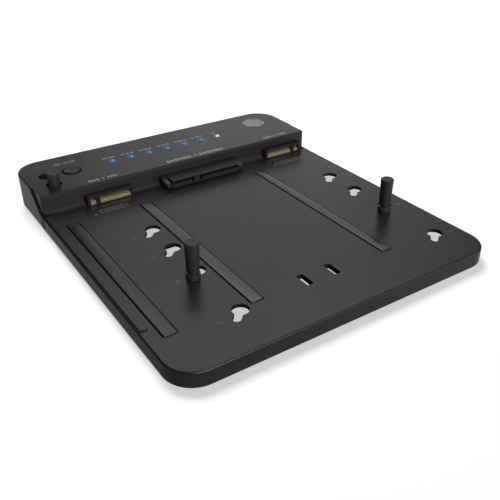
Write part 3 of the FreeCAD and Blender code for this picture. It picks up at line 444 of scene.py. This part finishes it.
def cove_group():
    """A mask that is 1 along the round foot of the deck's front and along its top edge."""
    tree, inside, out = new_group("Cove", [("Vector", "v", None)], [("Mask", "f")])
    calc = partial(math_node, tree)
    _, y, z = axes(tree, inside.outputs["Vector"])

    def beside(middle, near, far):
        return fade(tree, calc("ABSOLUTE", calc("SUBTRACT", y, middle)), near, far)

    foot = calc("MULTIPLY", beside(42.1 * MM, 0.9 * MM, 1.7 * MM),
                fade(tree, z, 8.8 * MM, 10.2 * MM))
    crest = calc("MULTIPLY", beside(43.2 * MM, 0.4 * MM, 0.9 * MM),
                 ramp(tree, z, 15.9 * MM, 16.3 * MM))
    fed(tree, out, {"Mask": calc("MAXIMUM", foot, crest)})
    return tree


def calm_cove(material):
    """Make a material rougher and less shiny at the deck's foot and top edge: painted shade on
    their highlights.
    """
    tree = material.node_tree
    shader = tree.nodes["Principled BSDF"]
    mask = use_group(tree, "Cove", cove_group, {"Vector": object_place(tree)}).outputs["Mask"]
    rough = shader.inputs["Roughness"].links[0].from_socket
    fed(tree, shader, {
        "Roughness": math_node(tree, "MULTIPLY_ADD", mask, 0.3, rough),
        # Lower specular inside the mask: painted shade that dims the highlights there.
        "Specular IOR Level": math_node(tree, "MULTIPLY_ADD", mask, -0.25, 0.5),
    })


def spill(material, blue, white, strength):
    """Add the spill of the status lights to a material's own shader."""
    tree = material.node_tree
    light = use_group(tree, "Light spill", spill_group, {"Vector": object_place(tree)}).outputs
    both = math_node(tree, "ADD", light["Blue"], light["White"])
    fed(tree, tree.nodes["Principled BSDF"], {
        "Emission Color": blend(tree, light["White"], (*blue, 1), (*white, 1)),
        "Emission Strength": math_node(tree, "MULTIPLY", both, strength),
    })


def finish(name, base, rough, texture=3000.0, depth=0.01, cloud=0.1, dust=0.0, radius=None,
           metallic=0.0, specular=0.5, coat=0.0, glow=0.0):
    """A material from the shared groups, with its plain numbers on the shader itself."""
    found = bpy.data.materials.get(name)
    if found:
        return found
    material = bpy.data.materials.new(name)
    material.use_nodes = True
    tree = material.node_tree
    shader = tree.nodes["Principled BSDF"]
    soft = use_group(tree, "Soft edge", edge_group, {
        "Radius": sizes().soft_edge if radius is None else radius,
    }).outputs
    surface = use_group(tree, "Moulded surface", surface_group, {
        "Vector": object_place(tree), "Colour": (*base, 1), "Edge": soft["Mask"],
        # Edges 8 % lighter than the base: a painted sheen, with a little wear.
        "Edge sheen and wear colour": (*(v * 1.08 for v in base), 1), "Roughness": rough,
        "Texture scale": texture, "Cloud": cloud, "Handling": 0.05, "Dust": dust,
    }).outputs
    bump = fed(tree, node(tree, "Bump"), {
        "Strength": 0.6, "Distance": depth * MM, "Height": surface["Height"],
        "Normal": soft["Normal"],
    })
    fed(tree, shader, {
        "Base Color": surface["Colour"], "Roughness": surface["Roughness"],
        "Normal": bump.outputs["Normal"], "Metallic": metallic,
        "Specular IOR Level": specular, "Coat Weight": coat,
    })
    if glow:
        fed(tree, shader, {"Emission Color": (*base, 1), "Emission Strength": glow})
    return material


def gold_plating():
    return finish("Gold plating", colours().gold, 0.42, texture=1500, depth=0.002, metallic=0.6,
                  cloud=0.2, radius=0.04 * MM)


def dress(names, material):
    """Give CAD nodes a finish."""
    for name in names:
        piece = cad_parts[name]
        for item in piece.material_slots:
            item.material = material
        if not piece.material_slots:
            piece.data.materials.append(material)


def dress_plain(names, name, code, rough, **more):
    """Give CAD nodes a finish of a screen colour."""
    dress(names, finish(name, linear(code), rough, **more))


# Operators


class DUPLICATOR_OT_case(bpy.types.Operator):
    """Finish the one-piece case and the cover under it."""

    bl_idname = "duplicator.case"
    bl_label = "Case"

    def execute(self, context):
        c = colours()
        shell = finish("Moulded plastic", c.case, 0.3, texture=2600, depth=0.005, cloud=0.08,
                       dust=0.12)
        spill(shell, c.blue, c.white, 0.19)
        calm_cove(shell)
        dress(["top_shell"], shell)
        add_piece("slot_collars", slot_collars(), "case", shell)
        cover = finish("Cover plastic", c.cover, 0.5, texture=1800, depth=0.02, dust=0.1)
        dress(["bottom_cover"], cover)
        return {"FINISHED"}


def slot_collars():
    """Walls that deepen the two strap slots under the plate: four boxes round each slot."""
    half_x, half_y, wall, y = 1.45 * MM, 3.75 * MM, 0.6 * MM, -59.2 * MM
    low, high = 5.45 * MM, 6.1 * MM
    middles = np.array([-6.55, 6.55]) * MM

    def box(y0, y1):
        return np.array([(y0, low), (y1, low), (y1, high), (y0, high)])

    sides = box(y - half_y - wall, y + half_y + wall)
    starts = np.concatenate([middles - half_x - wall, middles + half_x])
    boxes = bars(sides, starts, wall)
    for outline in (box(y - half_y - wall, y - half_y), box(y + half_y, y + half_y + wall)):
        boxes += bars(outline, middles - half_x, 2 * half_x)
    return boxes


class DUPLICATOR_OT_fasteners(bpy.types.Operator):
    """Make the cover's screws with cross recesses and finish the board's screws."""

    bl_idname = "duplicator.fasteners"
    bl_label = "Fasteners"

    def execute(self, context):
        steel = finish("Zinc steel", linear("8b8c90"), 0.32, texture=900, depth=0.004,
                       metallic=1.0, cloud=0.15)
        dress(["board_screws"], steel)
        low, high = LOW["cover_screws"][2], HIGH["cover_screws"][2]
        shank = 1.1 * MM
        stem = [(shank, low + 1.15 * MM), (shank, high - 0.4 * MM), (shank * 0.6, high)]
        stacks = []
        for x, y in np.array([(-22, 50.2), (36, 50.2), (-64, 73.4), (64, 73.4)]) * MM:
            stacks.append(screw_head(2.1 * MM, low, 1.2 * MM, x, y))
            stacks.append(turned(stem, (x, y, 0), around=24))
        add_piece("cover_screws_crossed", stacks, "case", steel, ["cover_screws"])
        return {"FINISHED"}


def screw_head(radius, low, height, x, y):
    """A domed head with a cross recess.

    The head's underside rises by 0.2 h (r / R)^2, plus a recess of depth 0.55 h times a step that
    is 1 where the way to the nearer arm's middle line is under 0.12 R and r is under 0.54 R.
    """
    share = np.concatenate([np.linspace(0.02, 0.64, 16), np.linspace(0.7, 1, 6)])
    turn = np.linspace(0, 2 * np.pi, 96, endpoint=False)
    r = share[:, None] * radius
    px, py = r * np.cos(turn), r * np.sin(turn)
    arm = np.minimum(np.abs(px), np.abs(py))
    inside = np.clip((0.17 - arm / radius) / 0.05, 0, 1)
    inside = inside * np.clip((0.6 - share[:, None]) / 0.06, 0, 1)
    z = low + 0.2 * height * (r / radius) ** 2 + 0.55 * height * inside
    under = np.stack([px, py, z], -1)
    rim = np.stack([px[-1], py[-1], np.full(96, low + height)], -1)[None]
    return np.concatenate([under, rim, rim * [0.5, 0.5, 1]]) + [x, y, 0]


class DUPLICATOR_OT_board(bpy.types.Operator):
    """Finish the board and the parts on it."""

    bl_idname = "duplicator.board"
    bl_label = "Board"

    def execute(self, context):
        dress_plain(["main_board"], "Board laminate", "1f4a33", 0.35, texture=700, coat=0.3)
        dress_plain(["bridge_chips"], "Chip plastic", "202022", 0.55)
        dress_plain(["power_coils"], "Pressed ferrite", "48484a", 0.6, texture=2500, depth=0.03)
        dress_plain(["status_diodes"], "Diode body", "d9d7c8", 0.3)
        dress_plain(["switch_housing", "power_switch_body"], "Switch plastic", "2c2c2e", 0.45)
        dress_plain(["switch_plunger"], "Plunger plastic", "b8b2a4", 0.4)
        return {"FINISHED"}


class DUPLICATOR_OT_feet(bpy.types.Operator):
    """Make the soft feet: a disc with an eased rim and a shallow hollow in its sole."""

    bl_idname = "duplicator.feet"
    bl_label = "Feet"

    def execute(self, context):
        low, high = LOW["rubber_feet"], HIGH["rubber_feet"]
        radius = 4.5 * MM
        profile = eased([
            (0, 0.15 * MM), (radius * 0.5, 0.15 * MM, 0.1 * MM), (radius * 0.62, 0, 0.2 * MM),
            (radius - 0.4 * MM, 0, 0.4 * MM), (radius, 0.5 * MM, 0.3 * MM),
            (radius, high[2]), (0, high[2]),
        ])
        stacks = [
            turned(profile, (x, y, 0))
            for x in (low[0] + radius, high[0] - radius)
            for y in (low[1] + radius, high[1] - radius)
        ]
        rubber = finish("Foot rubber", linear("1d1d1e"), 0.7, texture=1500, depth=0.03)
        add_piece("soft_feet", stacks, "case", rubber, ["rubber_feet"])
        return {"FINISHED"}


class DUPLICATOR_OT_strips(bpy.types.Operator):
    """Make the three grip strips, crowned and eased along their edges."""

    bl_idname = "duplicator.strips"
    bl_label = "Grip strips"

    def execute(self, context):
        s = sizes()
        # The left strip is a less shiny copy of the same rubber, so it reads darker: painted shade.
        for side, shine in (("left", 0.6), ("centre", 1.0), ("right", 1.0)):
            rubber = finish(f"Strip rubber {side}", colours().strip, 0.22, texture=2200,
                            depth=0.008, cloud=0.06, dust=0.2, specular=shine)
            strip = f"grip_strip_{side}"
            block = slab(LOW[strip], HIGH[strip], 0.5 * MM, s.strip_edge, s.strip_crown)
            add_piece(f"soft_strip_{side}", [block], "case", rubber, [strip])
        return {"FINISHED"}


class DUPLICATOR_OT_card_sockets(bpy.types.Operator):
    """Finish the card sockets and make their sprung contacts."""

    bl_idname = "duplicator.card_sockets"
    bl_label = "Card sockets"

    def execute(self, context):
        lip = sizes().contact_lip
        dress_plain(["card_socket_left", "card_socket_right"], "Card housing", "222023", 0.46,
                    texture=2400, depth=0.004, specular=0.4)
        card, width = 10.75 * MM, 0.28 * MM
        for side in ("left", "right"):
            contacts = f"card_contacts_{side}"
            _, front, floor = LOW[contacts]
            _, back, ceiling = HIGH[contacts]
            bend = front + 1.2 * MM
            under, over = card - 0.54 * MM, card + 0.54 * MM
            lower = eased([
                (back, floor), (front, floor), (front, under - 0.8 * MM, lip), (bend, under, lip),
                (back, under),
            ])
            upper = eased([
                (back, ceiling), (front, ceiling), (front, ceiling - 0.35 * MM, lip / 3),
                (bend, over, lip), (back, over),
            ])
            starts = contact_starts(contacts, side, width)
            stacks = bars(lower, starts, width) + bars(upper, starts, width)
            add_piece(f"card_springs_{side}", stacks, "case", gold_plating(),
                      [contacts])
        return {"FINISHED"}


def contact_starts(contacts, side, width):
    """Left edges of a card socket's contacts: two rows at one pitch, either side of the key."""
    pitch = 0.5 * MM
    first, last = (5, 29) if side == "left" else (29, 5)
    return np.concatenate([
        LOW[contacts][0] + pitch * np.arange(first),
        HIGH[contacts][0] - width - pitch * np.arange(last),
    ])


class DUPLICATOR_OT_drive_socket(bpy.types.Operator):
    """Finish the drive receptacle and make its blade contacts."""

    bl_idname = "duplicator.drive_socket"
    bl_label = "Drive receptacle"

    def execute(self, context):
        c = colours()
        housing = finish("Socket plastic", c.socket, 0.36, texture=2400, depth=0.004)
        dress(["drive_socket"], housing)
        # The blades are near black: painted shade inside the receptacle's slots.
        with_painted_light = finish("Blade plating in painted shade", c.shaded_blade, 0.5, depth=0.002, radius=0.04 * MM)
        low, high = LOW["drive_contacts"], HIGH["drive_contacts"]
        pitch, width = 1.27 * MM, 0.8 * MM
        starts = np.concatenate([
            low[0] + pitch * np.arange(7), high[0] - width - pitch * np.arange(15),
        ])
        share = np.linspace(0, 1, 9)
        y = low[1] + (high[1] - low[1]) * share
        z = low[2] + 0.1 * MM + 0.18 * MM * np.sin(np.pi * np.clip(share * 1.4, 0, 1))
        stacks = bars(ribbon(np.stack([y, z], -1), 0.18 * MM), starts, width)
        add_piece("drive_blades", stacks, "case", with_painted_light, ["drive_contacts"])
        return {"FINISHED"}


class DUPLICATOR_OT_pins(bpy.types.Operator):
    """Make the retaining pins: head, neck, disc foot, card groove and tapered grip."""

    bl_idname = "duplicator.pins"
    bl_label = "Retaining pins"

    def execute(self, context):
        plastic = finish("Pin plastic", colours().pin, 0.42, texture=2000, depth=0.008, cloud=0.12)
        edge = sizes().pin_edge / MM
        profile = np.array(eased([
            (0, -2.9), (2.9, -2.9, edge), (2.9, -1.7, 0.1), (1.5, -1.7), (1.5, 0.1),
            (2.8, 0.1, edge), (2.8, 2.575, 0.2), (2.4, 2.575), (1.7, 2.7), (1.7, 3.45),
            (2.5, 3.525, 0.08), (2.8, 15.6, edge), (1.6, 15.6, 0.1), (1.4, 15.5, 0.1), (0, 15.5),
        ])) * MM
        for side in ("left", "right", "spare"):
            pin = f"retaining_pin_{side}"
            base = (*MIDDLE[pin][:2], LOW[pin][2] + 2.9 * MM)
            rings = turned(profile, base, around=56)
            add_piece(f"pin_{side}", [rings], f"pin_{side}", plastic, [pin])
        return {"FINISHED"}


class DUPLICATOR_OT_button(bpy.types.Operator):
    """Make the button's cap with its shallow dish, stem and snap lip."""

    bl_idname = "duplicator.button"
    bl_label = "Clone button"

    def execute(self, context):
        low, high = LOW["clone_button"], HIGH["clone_button"]
        centre = (*MIDDLE["clone_button"][:2], 0)
        radius = (high[0] - low[0]) / 2
        cap, bowl = radius - 0.3 * MM, 0.86
        seam = high[2] - 0.14 * MM
        share = np.linspace(bowl, 0.02, 12)[1:]
        dish = high[2] - sizes().button_dish * (1 - (share / bowl) ** 2)
        rim = eased([(0, seam), (cap, seam), (cap, high[2], 0.08 * MM), (cap * bowl, high[2])])
        profile = np.concatenate([rim, np.stack([cap * share, dish], -1)])
        plastic = finish("Button plastic", colours().case, 0.3, texture=2600, depth=0.005)
        add_piece("button_cap", [turned(profile, centre, around=64)], "button", plastic,
                  ["clone_button"])
        neck, catch = 2.0 * MM, 2.6 * MM
        stem = [(0, low[2]), (neck, low[2]), (catch, 13.1 * MM), (catch, 13.6 * MM),
                (neck, 13.6 * MM), (neck, 15.5 * MM), (radius, 15.5 * MM), (radius, seam),
                (0, seam)]
        # The side under the cap and the stem are near black: painted shade in the gap round the
        # cap.
        side = finish("Button side in painted shade", linear("0b0b0c"), 0.6, texture=2600, specular=0.2)
        add_piece("button_stem", [turned(stem, centre, around=64)], "button", side)
        return {"FINISHED"}


class DUPLICATOR_OT_lights(bpy.types.Operator):
    """Make the lenses of the status lights, six blue and one white."""

    bl_idname = "duplicator.lights"
    bl_label = "Status lights"

    def execute(self, context):
        c = colours()
        dome = sizes().lens_dome
        for tint, guide, base, places, radius in (
            ("blue", "light_guides_blue", c.blue, range(6), 1.2 * MM),
            ("white", "light_guide_white", c.white, (6,), 0.95 * MM),
        ):
            lens = finish(f"{tint.capitalize()} lens", base, 0.2, depth=0.001, glow=0.27)
            turn = np.linspace(0, np.pi / 2, 6)[:-1]
            top = np.stack([radius * np.cos(turn), DECK_TOP + dome * np.sin(turn)], -1)
            low = LOW[guide][2]
            profile = np.concatenate([[(0, low), (radius, low)], top])
            stacks = [
                turned(profile, (LIGHT_X + LIGHT_PITCH * k, LIGHT_Y, 0), around=32)
                for k in places
            ]
            add_piece(f"{tint}_lenses", stacks, "case", lens, [guide])
        return {"FINISHED"}


def words(text, height, centre, level):
    """Flat figures as points and faces, scaled to a height and centred at a place."""
    curve = bpy.data.curves.new("figures", "FONT")
    curve.body = text
    curve.resolution_u = 3
    item = bpy.data.objects.new("figures", curve)
    bpy.context.scene.collection.objects.link(item)
    bpy.context.view_layer.update()
    ready = item.evaluated_get(bpy.context.evaluated_depsgraph_get())
    mesh = bpy.data.meshes.new_from_object(ready)
    flat = np.zeros(len(mesh.vertices) * 3)
    mesh.vertices.foreach_get("co", flat)
    flat = flat.reshape(-1, 3)
    faces = [list(face.vertices) for face in mesh.polygons]
    bpy.data.objects.remove(item)
    bpy.data.meshes.remove(mesh)
    bpy.data.curves.remove(curve)
    low, high = flat.min(0), flat.max(0)
    flat = (flat - (low + high) / 2) * height / (high[1] - low[1])
    flat[:, 2] = level
    flat[:, :2] += np.asarray(centre)
    return flat, faces


def strokes(lines, centre, level):
    """Flat bars from one (x, y) to another with a width, in millimetres round a centre."""
    points, faces = [], []
    for k, (start, end, width) in enumerate(lines):
        start, end = np.array(start, float), np.array(end, float)
        along = (end - start) / np.linalg.norm(end - start)
        side = np.array([-along[1], along[0]]) * width / 2
        corners = np.array([start + side, start - side, end - side, end + side]) * MM
        points.append(np.column_stack([corners + np.asarray(centre), np.full(4, level)]))
        faces.append([4 * k + corner for corner in range(4)])
    return np.concatenate(points), faces


class DUPLICATOR_OT_marks(bpy.types.Operator):
    """Print plain figures, tick bars, outlines and a copy sign on the deck and the plate."""

    bl_idname = "duplicator.marks"
    bl_label = "Printed marks"

    def execute(self, context):
        s, c = sizes(), colours()
        height, film = s.mark_height, s.mark_film
        deck, plate = DECK_TOP + film, PLATE_TOP + film
        lights_y, sockets_y = 67 * MM, 46.7 * MM
        marks = []
        for k, text in enumerate(("0", "20", "40", "60", "80", "100")):
            place = (LIGHT_X + LIGHT_PITCH * k, lights_y)
            marks.append(words(text, height * 0.85, place, deck))
            gap = 1.6 * len(text) + 0.6
            marks.append(strokes(ticks(5.6, gap, 0.7, 0.62, 0.4), place, deck))
        place = (LIGHT_X + LIGHT_PITCH * 6, lights_y + 0.2 * MM)
        marks.append(ring(place, 0.85 * MM, 0.28 * MM, deck))
        marks.append(strokes(copy_sign(), (-49.8 * MM, 72.9 * MM), deck))
        for text, x, row in (
            ("1", -40.8, ticks(13.5, 3.2, 1.3, 0.75, 0.6)),
            ("2", 54.7, ticks(13.5, 3.2, 1.3, 0.75, 0.6)),
            ("3", 7.2, ticks(30, 3.2, 1.5, 0.85, 0.8)),
        ):
            place = (x * MM, sockets_y)
            marks += [words(text, height, place, deck), strokes(row, place, deck)]
        printed("deck_marks", marks, film, ink("Deck print", c.mark))

        centre = (56 * MM, 68.2 * MM)
        disc = ring(centre, 5.9 * MM, 5.88 * MM, deck - 0.4 * film, 6)
        printed("round_mark", [disc], film * 0.5, ink("Disc print", c.disc, 0.45, 0.002, 0.3))
        rim = [
            ring(centre, 6.1 * MM, 0.5 * MM, deck, 6), ring(centre, 3.1 * MM, 0.4 * MM, deck, 6),
            strokes(spokes(3.2, 5.4, 6), centre, deck),
        ]
        printed("round_mark_rim", rim, film, ink("Disc rim print", c.rim, 0.4))

        marks = []
        for x, y, width in ((-42.3, 33.3, 13), (54, 32.6, 16)):
            marks.append(strokes(socket_sign(width, 2.6), (x * MM, y * MM), plate))
            beside = ((x - 8.6 - width * 0.05) * MM, (y - 1.5) * MM)
            marks.append(ring(beside, 0.55 * MM, 0.5 * MM, plate))
        for x in (-46.6, 66.2):
            for text, y in (("42", 3.7), ("60", -14.3), ("80", -34.3), ("110", -64.3)):
                marks.append(words(text, height * 0.7, (x * MM, y * MM), plate))
        printed("plate_marks", marks, film, ink("Plate print", c.faint))
        return {"FINISHED"}


def ink(name, base, rough=0.5, depth=0.001, cloud=0.2):
    return finish(name, base, rough, depth=depth, cloud=cloud, radius=0.005 * MM)


def printed(name, marks, film, material):
    """Several flat figures as one piece with the thickness of a printed film."""
    points, faces, start = [], [], 0
    for some, order in marks:
        points.append(some)
        faces += [[v + start for v in face] for face in order]
        start += len(some)
    mesh = bpy.data.meshes.new(name)
    mesh.from_pydata(np.concatenate(points).tolist(), [], faces)
    piece = placed(name, mesh, "case", material)
    thick = piece.modifiers.new("film", "SOLIDIFY")
    thick.thickness = film * 0.9
    thick.offset = -1


def spokes(inner, outer, count):
    """Short bars that point at a common centre, at equal angles."""
    turn = np.arange(count) * 2 * np.pi / count + MARK_TURN
    ways = np.stack([np.cos(turn), np.sin(turn)], -1)
    return [(way * inner, way * outer, 0.3) for way in ways]


def ticks(width, gap, pitch, reach, weight):
    """Short upright bars in a row, every third one taller, with a gap left open in the middle."""
    count = round(width / pitch)
    places = (np.arange(count + 1) - count / 2) * pitch
    places = places[np.abs(places) >= gap / 2]
    tall = np.where(np.arange(len(places)) % 3 == 0, reach * 1.3, reach)
    return [((x, -t), (x, t), weight) for x, t in zip(places, tall)]


def outline_of(half_x, half_y, weight, shift=0.0):
    """The four sides of a box."""
    low, high = shift - half_x, shift + half_x
    corners = [(low, -half_y), (high, -half_y), (high, half_y), (low, half_y)]
    return [(a, b, weight) for a, b in zip(corners, corners[1:] + corners[:1])]


def socket_sign(width, height):
    """The outline of a box, with a bar across its middle."""
    reach = width / 2 * 0.7
    return outline_of(width / 2, height / 2, 0.32) + [((-reach, 0), (reach, 0), 0.32)]


def copy_sign():
    """Two outlined squares with an arrow from the first to the second."""
    arrow = [((-1.6, 0), (1.4, 0), 0.3), ((0.6, 0.8), (1.5, 0), 0.3), ((0.6, -0.8), (1.5, 0), 0.3)]
    return outline_of(1, 1, 0.28, -3.6) + outline_of(1, 1, 0.28, 3.6) + arrow


def ring(centre, radius, width, level, around=64):
    """A flat ring: two circles of x = r cos t, y = r sin t; few points make a turned polygon."""
    rings = circle([radius, radius - width], around)
    points = np.concatenate([rings, np.full((2, around, 1), level)], -1).reshape(-1, 3)
    cos, sin = math.cos(MARK_TURN), math.sin(MARK_TURN)
    points[:, :2] = points[:, :2] @ [[cos, sin], [-sin, cos]] + np.asarray(centre)
    k = np.arange(around)
    faces = np.stack([k, (k + 1) % around, (k + 1) % around + around, k + around], -1).tolist()
    return points, faces


class DUPLICATOR_OT_ports(bpy.types.Operator):
    """Finish the rear ports and make their contacts."""

    bl_idname = "duplicator.ports"
    bl_label = "Rear ports"

    def execute(self, context):
        steel = finish("Port steel", linear("b4b4b8"), 0.25, texture=700, depth=0.003,
                       metallic=1.0)
        dress(["data_port_shell"], steel)
        dress_plain(["power_port_body"], "Port plastic", "1b1b1d", 0.4)
        dress_plain(["data_port_tongue"], "Tongue plastic", "222224", 0.45)
        low, high, middle = (box["power_port_pin"] for box in (LOW, HIGH, MIDDLE))
        radius = (high[0] - low[0]) / 2
        profile = eased([
            (0, low[1]), (radius, low[1]), (radius, high[1], radius * 0.7), (0, high[1]),
        ])
        rings = turned(profile, (middle[0], 0, middle[2]), "y", 32)
        add_piece("power_pin", [rings], "case", steel, ["power_port_pin"])

        low, high, middle = (box["data_port_tongue"] for box in (LOW, HIGH, MIDDLE))
        pitch, width, film = 0.5 * MM, 0.26 * MM, 0.03 * MM
        starts = middle[0] + (np.arange(12) - 5.5) * pitch - width / 2
        back, front = high[1] - 3.2 * MM, high[1] - 0.5 * MM
        pad = np.array([(back, 0), (front, 0), (front, film), (back, film)])
        stacks = bars(pad + [0, high[2]], starts, width)
        stacks += bars(pad * [1, -1] + [0, low[2]], starts, width)
        add_piece("data_port_pads", stacks, "case", gold_plating())
        return {"FINISHED"}


class DUPLICATOR_OT_power_switch(bpy.types.Operator):
    """Make the slider of the power switch, with ridges across its face."""

    bl_idname = "duplicator.power_switch"
    bl_label = "Power switch"

    def execute(self, context):
        low, high = LOW["power_switch_slider"], HIGH["power_switch_slider"]
        ridges, depth = 6, 0.12 * MM
        across = np.linspace(0, 1, 49)
        x = low[0] + (high[0] - low[0]) * across
        face = high[1] - depth * (1 - np.cos(across * 2 * np.pi * ridges)) / 2
        outline = np.concatenate([
            np.stack([x, face], -1), [[high[0], low[1]], [low[0], low[1]]],
        ])
        rings = lifted(np.stack([outline, outline]), (low[2], high[2]))
        plastic = finish("Slider plastic", linear("29292b"), 0.4)
        add_piece("ridged_slider", [rings], "power_slider", plastic,
                  ["power_switch_slider"])
        return {"FINISHED"}


# Stage

# The photograph's camera, solved from the straight edges and corners of the object.
CAMERA_TARGET = Vector((-0.0139, -0.03357, 0.01))
CAMERA_TURN, CAMERA_RISE, CAMERA_DISTANCE = 213.66, 31.29, 0.25384
CAMERA_LENS, CAMERA_SENSOR = 46.58, 36

# Name, turn, rise, width and radiance of the lamps for all but the floor.
LAMPS = (
    ("rear_high", 25, 60, 0.8, 0.62),
    ("rear_middle", 38, 40, 0.8, 0.51),
    ("rear_left", 0, 12, 0.4, 0.36),
    ("rear_centre", 18, 12, 0.4, 0.22),
    ("rear_right", 38, 12, 0.4, 0.44),
    ("front_right", 135, 20, 0.8, 0.75),
    ("front", 180, 30, 0.8, 3.41),
)


def way(turn, rise):
    """The way from the origin, turned from the rear (+Y) towards +X and raised, in degrees."""
    turn, rise = math.radians(turn), math.radians(rise)
    level = math.cos(rise)
    return Vector((math.sin(turn) * level, math.cos(turn) * level, math.sin(rise)))


def lamp(name, place, width, radiance, floor, lights_floor=False):
    """A square soft light aimed at the origin, for the floor alone or for all but the floor.

    Its power is pi w^2 times its radiance.
    """
    data = bpy.data.lights.new(name, "AREA")
    data.shape = "SQUARE"
    data.size = width
    data.energy = radiance * math.pi * width ** 2
    data.color = (1, 1 if lights_floor else 0.975, 1)
    item = bpy.data.objects.new(name, data)
    item.location = place
    item.rotation_euler = (-place).to_track_quat("-Z", "Y").to_euler()
    item.visible_camera = False
    bpy.context.scene.collection.objects.link(item)
    lit = bpy.data.collections.new(name + "_lights")
    lit.objects.link(floor)
    lit.collection_objects[0].light_linking.link_state = "INCLUDE" if lights_floor else "EXCLUDE"
    item.light_linking.receiver_collection = lit


class DUPLICATOR_OT_stage(bpy.types.Operator):
    """Set the pale floor, the soft lights and the camera."""

    bl_idname = "duplicator.stage"
    bl_label = "Stage"

    def execute(self, context):
        scene = context.scene
        scene.view_settings.view_transform = "Standard"
        mesh = bpy.data.meshes.new("floor")
        mesh.from_pydata([(-3, -3, 0), (3, -3, 0), (3, 3, 0), (-3, 3, 0)], [], [(0, 1, 2, 3)])
        floor = bpy.data.objects.new("floor", mesh)
        scene.collection.objects.link(floor)
        mesh.materials.append(floor_material())

        world = bpy.data.worlds.new("studio")
        scene.world = world
        world.use_nodes = True
        tree = world.node_tree
        rays = node(tree, "LightPath").outputs
        seen = math_node(tree, "MAXIMUM", rays["Is Camera Ray"], rays["Is Transmission Ray"])
        fed(tree, tree.nodes["Background"], {
            "Color": (1, 1, 1, 1), "Strength": math_node(tree, "MULTIPLY_ADD", seen, 0.98, 0.02),
        })

        for name, turn, rise, width, radiance in LAMPS:
            lamp(name, way(turn, rise), width, radiance, floor)
        lamp("floor_light", way(8, 66), 0.45, 9.7, floor, lights_floor=True)

        data = bpy.data.cameras.new("camera")
        data.lens, data.sensor_width = CAMERA_LENS, CAMERA_SENSOR
        data.clip_start, data.clip_end = 0.01, 20
        camera = bpy.data.objects.new("camera", data)
        back = way(CAMERA_TURN, CAMERA_RISE)
        camera.location = CAMERA_TARGET + back * CAMERA_DISTANCE
        camera.rotation_euler = (-back).to_track_quat("-Z", "Y").to_euler()
        scene.collection.objects.link(camera)
        scene.camera = camera
        return {"FINISHED"}


def floor_material():
    """A pale floor that the camera sees as white, with the object's shadow on it.

    The camera sees it a little darker under the case, inside |x| < 60 mm and |y| < 70 mm, as
    painted shade, and white from 0.4 m away. The object is lit by a plain glow of it instead,
    of the part past the case: g (clamp(1/2 + x / 0.3 m) + clamp(1/2 + y / 0.3 m)). It can be
    seen through from below.
    """
    material = bpy.data.materials.new("Studio floor")
    material.use_nodes = True
    tree = material.node_tree
    tree.nodes.clear()
    calc = partial(math_node, tree)
    place = object_place(tree)
    x, y, _ = axes(tree, place)
    beyond = calc("MAXIMUM", ramp(tree, calc("ABSOLUTE", x), 60 * MM, 67 * MM),
                  ramp(tree, calc("ABSOLUTE", y), 70 * MM, 77 * MM))
    away = fed(tree, node(tree, "VectorMath", operation="LENGTH"), {0: place}).outputs["Value"]
    # The floor seen by the camera is 0.02 darker under the case: painted shade.
    level = calc("MULTIPLY_ADD", beyond, 0.02, 0.57)
    level = calc("MULTIPLY_ADD", ramp(tree, away, 0.18, 0.4), 0.45, level)
    slope, bounce_level = 1 / 0.3, 0.34
    rising = calc("ADD", calc("MULTIPLY_ADD", x, slope, 0.5, clamp=True),
                  calc("MULTIPLY_ADD", y, slope, 0.5, clamp=True))
    bounce = calc("MULTIPLY", calc("MULTIPLY", rising, beyond), bounce_level)

    def shader(kind, given):
        return fed(tree, node(tree, kind), given).outputs[0]

    matte = shader("BsdfDiffuse", {"Color": (*colours().floor, 1)})
    seen = shader("AddShader", {0: matte, 1: shader("Emission", {"Strength": level})})
    from_camera = node(tree, "LightPath").outputs["Is Camera Ray"]
    glow = shader("Emission", {"Strength": bounce})
    above = shader("MixShader", {0: from_camera, 1: glow, 2: seen})
    from_below = node(tree, "NewGeometry").outputs["Backfacing"]
    clear = shader("BsdfTransparent", {})
    whole = shader("MixShader", {0: from_below, 1: above, 2: clear})
    fed(tree, node(tree, "OutputMaterial"), {"Surface": whole})
    return material


PIECES = (
    DUPLICATOR_OT_case, DUPLICATOR_OT_fasteners, DUPLICATOR_OT_board, DUPLICATOR_OT_feet,
    DUPLICATOR_OT_strips, DUPLICATOR_OT_card_sockets, DUPLICATOR_OT_drive_socket,
    DUPLICATOR_OT_pins, DUPLICATOR_OT_button, DUPLICATOR_OT_lights, DUPLICATOR_OT_marks,
    DUPLICATOR_OT_ports, DUPLICATOR_OT_power_switch, DUPLICATOR_OT_stage,
)


class DUPLICATOR_PT_panel(bpy.types.Panel):
    """The duplicator's pieces, sizes and colours."""

    bl_idname = "DUPLICATOR_PT_panel"
    bl_label = "Drive duplicator"
    bl_space_type = "VIEW_3D"
    bl_region_type = "UI"
    bl_category = "Duplicator"

    def draw(self, context):
        for operator in PIECES:
            self.layout.operator(operator.bl_idname)
        for group in (context.scene.duplicator_sizes, context.scene.duplicator_colours):
            for name in group.__annotations__:
                self.layout.prop(group, name)


CLASSES = (DuplicatorSizes, DuplicatorColours) + PIECES + (DUPLICATOR_PT_panel,)


def register():
    for item in CLASSES:
        bpy.utils.register_class(item)
    bpy.types.Scene.duplicator_sizes = PointerProperty(type=DuplicatorSizes)
    bpy.types.Scene.duplicator_colours = PointerProperty(type=DuplicatorColours)


def unregister():
    del bpy.types.Scene.duplicator_colours
    del bpy.types.Scene.duplicator_sizes
    for item in reversed(CLASSES):
        bpy.utils.unregister_class(item)


def main():
    """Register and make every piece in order."""
    register()
    for operator in PIECES:
        getattr(bpy.ops.duplicator, operator.bl_idname.partition(".")[2])()


if __name__ == "__main__":
    main()
